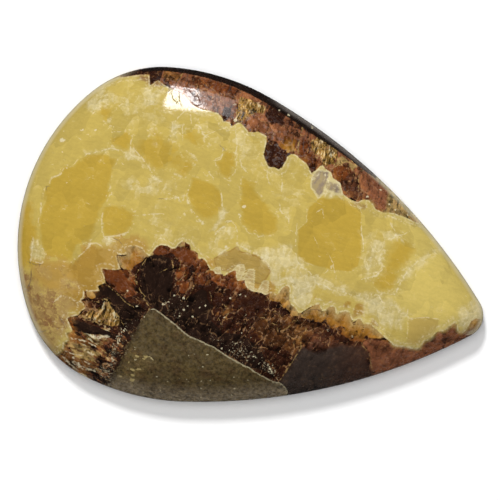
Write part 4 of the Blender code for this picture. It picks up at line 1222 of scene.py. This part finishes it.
def stone_material(colours):
    """Build the polished stone's material."""
    material = bpy.data.materials.new("polished_septarian")
    material.use_nodes = True
    graph = Graph(material.node_tree, colours)
    shader = material.node_tree.nodes["Principled BSDF"]

    place = graph.scale(graph.add("ShaderNodeTexCoord", output=3), 1.0 / MM)
    calcite = calcite_pattern(graph, place)
    aragonite = aragonite_pattern(graph, place, graph.attribute("grain", 1))
    mudstone = mudstone_pattern(graph, place)

    fine = graph.noise(place, 3.5, 4.0, 0.65)
    depth = graph.attribute("calcite_depth") + 0.16 * (fine - 0.5)
    # Painted dark reflection: the rim along the upper edge is painted black and darkened.
    top_rim = graph.ease(graph.attribute("top_rim") + 0.8 * (fine - 0.5), 0.4, 0.6)
    aragonite = graph.scale(graph.mix(0.95 * top_rim, aragonite, "black"), 1.0 - 0.5 * top_rim)
    merging = graph.attribute("brown_russet").most(graph.attribute("brown_fan"))
    fuzz = 0.04 + 0.25 * graph.ease(merging, 0.2, 0.5)
    is_calcite = graph.ease(depth / fuzz, -1.0, 1.0)
    colour = graph.mix(is_calcite, aragonite, calcite)
    rim = graph.ease(abs(depth - 0.07), 0.1, 0.01) * graph.ease(fine, 0.42, 0.6)
    colour = graph.mix(0.6 * rim, colour, "cream")
    ragged = graph.ease(graph.channel(place, 0), -7.5, -8.4)
    mud_depth = graph.attribute("mudstone_depth") + (0.2 + 0.8 * ragged) * (fine - 0.5)
    is_mudstone = graph.ease(mud_depth, -0.05, 0.05)
    colour = graph.mix(is_mudstone, colour, mudstone)
    fringe = ragged * graph.ease(abs(mud_depth + 0.1), 0.7, 0.1)
    speckle = graph.noise(place, 5.0, 2.0, 0.7)
    colour = graph.mix(0.8 * fringe * graph.ease(speckle, 0.46, 0.52), colour, "black")
    colour = graph.mix(0.7 * fringe * graph.ease(speckle, 0.36, 0.3), colour, "mud_rim")
    mud_line = graph.line("mud_line", 0.8 * fine + 0.1) * graph.ease(speckle, 0.3, 0.5, 0.3, 0.9)
    colour = graph.mix(mud_line, colour, "mud_rim")
    dark_cracks = graph.line("dark_cracks", fine)
    colour = graph.mix(0.5 * dark_cracks, colour, "umber")
    pale_spots = graph.ease(graph.attribute("pale_spots") + 3.5 * (fine - 0.5), 1.0, 0.6)
    colour = graph.mix(0.75 * pale_spots, colour, "cream")
    # Painted reflection of the white table along the girdle: cream, and grey within the painted dark rim.
    reflection_colour = graph.mix(top_rim, "cream", "rim_grey")
    colour = graph.mix(0.7 * graph.attribute("pale_rim"), colour, reflection_colour)

    links = material.node_tree.links
    links.new(colour.socket, shader.inputs["Base Color"])
    pitted = graph.ease(graph.noise(place, 3.0, 3.0, 0.65), 0.5, 0.58)
    brown = 1.0 - is_calcite
    feathery = graph.attribute("calcite_milk").most(0.0).least(1.0) * is_calcite
    sheen = 0.3 * brown * graph.ease(graph.attribute("brown_black"), 0.7, 0.3)
    roughness = POLISH_ROUGHNESS + pitted * (sheen + 0.2 * feathery)
    roughness = roughness + 0.12 * is_mudstone + 0.5 * dark_cracks
    links.new(roughness.socket, shader.inputs["Roughness"])
    relief = (brown + 0.5 * feathery) * graph.noise(place, 1.5, 3.0, 0.6)
    bump_inputs = {"Strength": RELIEF_STRENGTH, "Distance": RELIEF_DEPTH * MM, "Height": relief}
    bump = graph.add("ShaderNodeBump", {}, bump_inputs)
    links.new(bump.socket, shader.inputs["Normal"])
    shader.inputs["IOR"].default_value = REFRACTION
    return material


def number_property(name, description, default):
    """Return a property for a plain number."""
    return bpy.props.FloatProperty(name=name, description=description, default=default)


def length_property(name, description, default):
    """Return a property for a length, from its default in mm."""
    return bpy.props.FloatProperty(name=name, description=description, default=default * MM, unit="LENGTH")


def angle_property(name, description, default):
    """Return a property for an angle, from its default in degrees."""
    return bpy.props.FloatProperty(
        name=name, description=description, default=math.radians(default), subtype="ANGLE")


def colour_property(name, description, default):
    """Return a property for a colour."""
    return bpy.props.FloatVectorProperty(
        name=name, description=description, default=default, subtype="COLOR", size=3, min=0.0, max=1.0)


class StoneSizes(bpy.types.PropertyGroup):
    """Sizes of the stone's section."""

    girdle_height: length_property("Girdle height", "Height of the upright edge", 1.5)
    shoulder_width: length_property("Shoulder width", "Width of the rounded shoulder", 3.4)
    shoulder_rise: length_property("Shoulder rise", "Height of the rounded shoulder", 2.5)
    crown_rise: length_property("Crown rise", "Extra height of the crown at its peak", STONE_HEIGHT - 4.0)
    peak_x: length_property("Peak place", "Where the peak is along the length", -4.0)
    back_bevel: length_property("Back bevel", "Rounding of the back's edge", 0.35)


class StonePalette(bpy.types.PropertyGroup):
    """Colours of the stone's minerals."""

    plain: colour_property("Calcite", "Yellow calcite", (0.507, 0.378, 0.092))
    straw: colour_property("Straw calcite", "Smooth calcite near the tip", (0.560, 0.430, 0.115))
    honey: colour_property("Honey calcite", "Calcite at the round end", (0.470, 0.305, 0.040))
    amber: colour_property("Amber calcite", "Deep blocks in the calcite", (0.456, 0.307, 0.046))
    sand: colour_property("Sand calcite", "Tan calcite along the lower left teeth", (0.430, 0.265, 0.060))
    beige: colour_property("Beige calcite", "Calcite near the crystals", (0.455, 0.325, 0.085))
    ochre: colour_property("Ochre calcite", "Calcite over brown crystals", (0.365, 0.215, 0.038))
    olive: colour_property("Olive calcite", "Calcite in the shade of the crystals", (0.375, 0.250, 0.063))
    milk: colour_property("Milky calcite", "Feathery pale calcite", (0.572, 0.475, 0.232))
    smear: colour_property("Smear", "Darker streaks in the grey calcite", (0.270, 0.205, 0.145))
    grey_white: colour_property("Grey calcite", "Grey-white patch", (0.360, 0.275, 0.135))
    stained: colour_property("Stained calcite", "Brown blotches in the calcite", (0.300, 0.180, 0.065))
    tan: colour_property("Tan calcite", "Pale rims in the stained calcite", (0.400, 0.260, 0.088))
    cream: colour_property("Cream", "Seams, cracks and glints", (0.720, 0.640, 0.420))
    pink: colour_property("Pink rims", "Thin rims of the brown crystals", (0.400, 0.190, 0.068))
    gold: colour_property("Gold aragonite", "Golden fibres", (0.300, 0.165, 0.036))
    orange: colour_property("Orange aragonite", "Lit crystal tips", (0.330, 0.145, 0.020))
    copper: colour_property("Copper aragonite", "Golden brown grains", (0.165, 0.066, 0.017))
    chestnut: colour_property("Chestnut aragonite", "Crystals of the upper band", (0.214, 0.077, 0.032))
    rust: colour_property("Rust aragonite", "Red-brown crystals", (0.130, 0.035, 0.009))
    russet: colour_property("Russet aragonite", "Smooth red-brown crystals", (0.235, 0.084, 0.038))
    dark_red: colour_property("Dark red aragonite", "Deep red crystals", (0.085, 0.029, 0.013))
    brown: colour_property("Brown aragonite", "Brown crystals in the lower band", (0.062, 0.022, 0.007))
    plum: colour_property("Plum aragonite", "Dark crystals at the tip", (0.080, 0.029, 0.018))
    umber: colour_property("Umber aragonite", "Dark brown crystals", (0.034, 0.010, 0.0045))
    black: colour_property("Black aragonite", "Nearly black crystals", (0.017, 0.008, 0.005))
    slate: colour_property("Slate", "Plain dark part", (0.040, 0.027, 0.021))
    mudstone: colour_property("Mudstone", "Olive-brown mudstone", (0.074, 0.051, 0.019))
    grey_mud: colour_property("Grey mudstone", "Paler mudstone", (0.070, 0.049, 0.021))
    # Painted light: the paler mudstone near the edge.
    pale_mud: colour_property("Pale mudstone", "Mudstone near the stone's edge", (0.185, 0.142, 0.086))
    mud_rim: colour_property("Mudstone rim", "Beige line along the mudstone", (0.390, 0.340, 0.210))
    flake: colour_property("Flake", "Golden flakes in the mudstone", (0.480, 0.370, 0.150))
    # Colour of the painted reflection at the girdle within the painted dark rim.
    rim_grey: colour_property("Rim", "Greyish line at the girdle", (0.250, 0.217, 0.190))


def palette_values(palette):
    """Return the palette's colours by name, opaque."""
    return {name: (*getattr(palette, name), 1.0) for name in StonePalette.__annotations__}


class StudioSettings(bpy.types.PropertyGroup):
    """The studio's camera and lights."""

    lens: number_property("Lens", "Camera lens in mm", 400.0)
    view_width: length_property("View width", "Width of the picture at the stone", 44.2)
    turn: angle_property("Turn", "How far the stone is turned in the picture", 15.7)
    elevation: angle_property("Elevation", "Camera's angle over the table", 88.0)
    key_level: number_property("Key level", "Share of white that the key light gives the table", 0.5)
    key_elevation: angle_property("Key elevation", "Key light's angle over the table", 52.0)
    key_turn: angle_property("Key turn", "How far the key light is turned left of the picture's top", 14.0)
    key_spread: angle_property("Key spread", "Angle that the key light fills", 10.0)
    fill_level: number_property("Fill level", "Share of white that the fill light gives the table", 0.6)
    fill_spread: angle_property("Fill spread", "Angle that the fill light fills", 50.0)
    softbox_glow: number_property("Softbox glow", "Brightness of the reflected softbox", 18.0)
    side_panel_glow: number_property("Side panel glow", "Brightness of the dimmer panel beside it", 2.4)


class GEMSTONE_OT_add_stone(bpy.types.Operator):
    """Add the polished stone in place of its plain solid"""

    bl_idname = "gemstone.add_stone"
    bl_label = "Add Stone"

    def execute(self, context):
        settings = context.scene
        dome = Dome(settings.gemstone_sizes)
        colours = palette_values(settings.gemstone_palette)
        mesh = build_stone(dome)
        lay_out_bake(mesh, dome)
        paint_pattern(mesh, dome)
        mesh.materials.append(stone_material(colours))
        stone = bpy.data.objects.new("polished_calcite_stone", mesh)
        settings.collection.objects.link(stone)
        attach(stone, "root")
        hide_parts("calcite_gemstone")
        return {"FINISHED"}


def add_sun(name, spread, level, direction):
    """Add an even light that gives a level table this share of white, and no reflection."""
    data = bpy.data.lights.new(name, "SUN")
    data.angle = spread
    data.energy = math.pi * level / direction.normalized().z
    sun = bpy.data.objects.new(name, data)
    sun.rotation_euler = (-direction).to_track_quat("-Z", "Y").to_euler()
    sun.visible_camera = False
    sun.visible_glossy = False
    bpy.context.scene.collection.objects.link(sun)


def add_plain_object(name, bm, finish):
    """Add an object made from a bmesh, with a plain material of this finish, and return it."""
    mesh = bpy.data.meshes.new(name)
    bm.to_mesh(mesh)
    bm.free()
    material = bpy.data.materials.new(name)
    material.use_nodes = True
    shader = material.node_tree.nodes["Principled BSDF"]
    for key, value in finish.items():
        shader.inputs[key].default_value = value
    mesh.materials.append(material)
    plain_object = bpy.data.objects.new(name, mesh)
    bpy.context.scene.collection.objects.link(plain_object)
    return plain_object


def add_softbox(name, corners, glow):
    """Add a softbox that shows only as a reflection, from its corners' bearings and elevations."""
    bm = bmesh.new()
    vertices = []
    for bearing, elevation in corners:
        bearing, elevation = math.radians(bearing), math.radians(elevation)
        level = SOFTBOX_DISTANCE * math.cos(elevation)
        height = SOFTBOX_DISTANCE * math.sin(elevation)
        vertices.append(bm.verts.new((level * math.cos(bearing), level * math.sin(bearing), height)))
    bm.faces.new(vertices)
    black, white = (0.0, 0.0, 0.0, 1.0), (1.0, 1.0, 1.0, 1.0)
    finish = {"Base Color": black, "Emission Color": white, "Emission Strength": glow}
    softbox = add_plain_object(name, bm, finish)
    softbox.visible_camera = False
    softbox.visible_diffuse = False
    softbox.visible_shadow = False


class GEMSTONE_OT_add_studio(bpy.types.Operator):
    """Add the white table, the lights and the camera"""

    bl_idname = "gemstone.add_studio"
    bl_label = "Add Studio"

    def execute(self, context):
        scene = context.scene
        settings = scene.gemstone_studio
        self.add_table()
        self.add_world(scene)
        back, right, up = self.picture_axes(settings)
        self.add_camera(scene, settings, back, right, up)
        flat_up = Vector((up.x, up.y, 0.0)).normalized()
        flat_up.rotate(Matrix.Rotation(settings.key_turn, 3, "Z"))
        high = math.tan(settings.key_elevation)
        add_sun("key", settings.key_spread, settings.key_level, flat_up + Vector((0.0, 0.0, high)))
        add_sun("fill", settings.fill_spread, settings.fill_level, Vector((0.0, 0.0, 1.0)))
        add_softbox("softbox", SOFTBOX_CORNERS, settings.softbox_glow)
        add_softbox("side_panel", SIDE_PANEL_CORNERS, settings.side_panel_glow)
        scene.view_settings.view_transform = "Standard"
        return {"FINISHED"}

    def add_table(self):
        """Add the white table that the stone lies on."""
        bm = bmesh.new()
        bmesh.ops.create_grid(bm, x_segments=1, y_segments=1, size=TABLE_HALF_WIDTH)
        white = (TABLE_WHITE, TABLE_WHITE, TABLE_WHITE, 1.0)
        finish = {"Base Color": white, "Roughness": 0.9, "Specular IOR Level": 0.0}
        table = add_plain_object("white_table", bm, finish)
        table.visible_glossy = False

    def add_world(self, scene):
        """Add a sky that the camera sees pale, and the stone dark with a faint horizon."""
        world = bpy.data.worlds.new("studio")
        world.use_nodes = True
        scene.world = world
        graph = Graph(world.node_tree)
        background = world.node_tree.nodes["Background"]
        background.inputs["Color"].default_value = (1.0, 1.0, 1.0, 1.0)
        direction = graph.add("ShaderNodeTexCoord", output=0)
        height = graph.add("ShaderNodeSeparateXYZ", inputs={0: direction}, output=2)
        glow = graph.ease(abs(height), 0.0, HORIZON_TOP, HORIZON_GLOW, SKY_GLOW)
        seen = graph.add("ShaderNodeLightPath")
        strength = glow + seen * (SEEN_SKY - glow)
        world.node_tree.links.new(strength.socket, background.inputs["Strength"])

    def picture_axes(self, settings):
        """Return the directions to the camera, and to the right and the top of its picture."""
        back = Vector((
            math.sin(settings.turn) * math.cos(settings.elevation),
            -math.cos(settings.turn) * math.cos(settings.elevation),
            math.sin(settings.elevation)))
        right = Vector((math.cos(settings.turn), math.sin(settings.turn), 0.0))
        return back, right, back.cross(right)

    def add_camera(self, scene, settings, back, right, up):
        """Add a camera that looks down on the stone as the photograph does."""
        data = bpy.data.cameras.new("camera")
        data.lens = settings.lens
        data.sensor_width = SENSOR_WIDTH
        camera = bpy.data.objects.new("camera", data)
        scene.collection.objects.link(camera)
        distance = settings.view_width * data.lens / data.sensor_width
        target = Vector((0.0, 0.0, FOCUS_HEIGHT * MM)) + FOCUS_RIGHT * MM * right + FOCUS_UP * MM * up
        camera.location = target + distance * back
        camera.rotation_mode = "QUATERNION"
        camera.rotation_quaternion = back.to_track_quat("Z", "Y")
        scene.camera = camera


class GEMSTONE_PT_panel(bpy.types.Panel):
    """Lists the gemstone's sizes, colours and operators"""

    bl_label = "Calcite Gemstone"
    bl_idname = "GEMSTONE_PT_panel"
    bl_space_type = "VIEW_3D"
    bl_region_type = "UI"
    bl_category = "Gemstone"

    def draw(self, context):
        for name in ("gemstone_sizes", "gemstone_palette", "gemstone_studio"):
            group = getattr(context.scene, name)
            for field in group.__annotations__:
                self.layout.prop(group, field)
        self.layout.operator("gemstone.add_stone")
        self.layout.operator("gemstone.add_studio")


CLASSES = (
    StoneSizes, StonePalette, StudioSettings,
    GEMSTONE_OT_add_stone, GEMSTONE_OT_add_studio, GEMSTONE_PT_panel,
)


def register():
    """Register the classes and hang their settings on the scene."""
    for item in CLASSES:
        bpy.utils.register_class(item)
    bpy.types.Scene.gemstone_sizes = bpy.props.PointerProperty(type=StoneSizes)
    bpy.types.Scene.gemstone_palette = bpy.props.PointerProperty(type=StonePalette)
    bpy.types.Scene.gemstone_studio = bpy.props.PointerProperty(type=StudioSettings)


def unregister():
    """Take the settings and the classes away again."""
    del bpy.types.Scene.gemstone_studio
    del bpy.types.Scene.gemstone_palette
    del bpy.types.Scene.gemstone_sizes
    for item in reversed(CLASSES):
        bpy.utils.unregister_class(item)


def main():
    """Make the stone and its studio."""
    register()
    bpy.ops.gemstone.add_stone()
    bpy.ops.gemstone.add_studio()


if __name__ == "__main__":
    main()
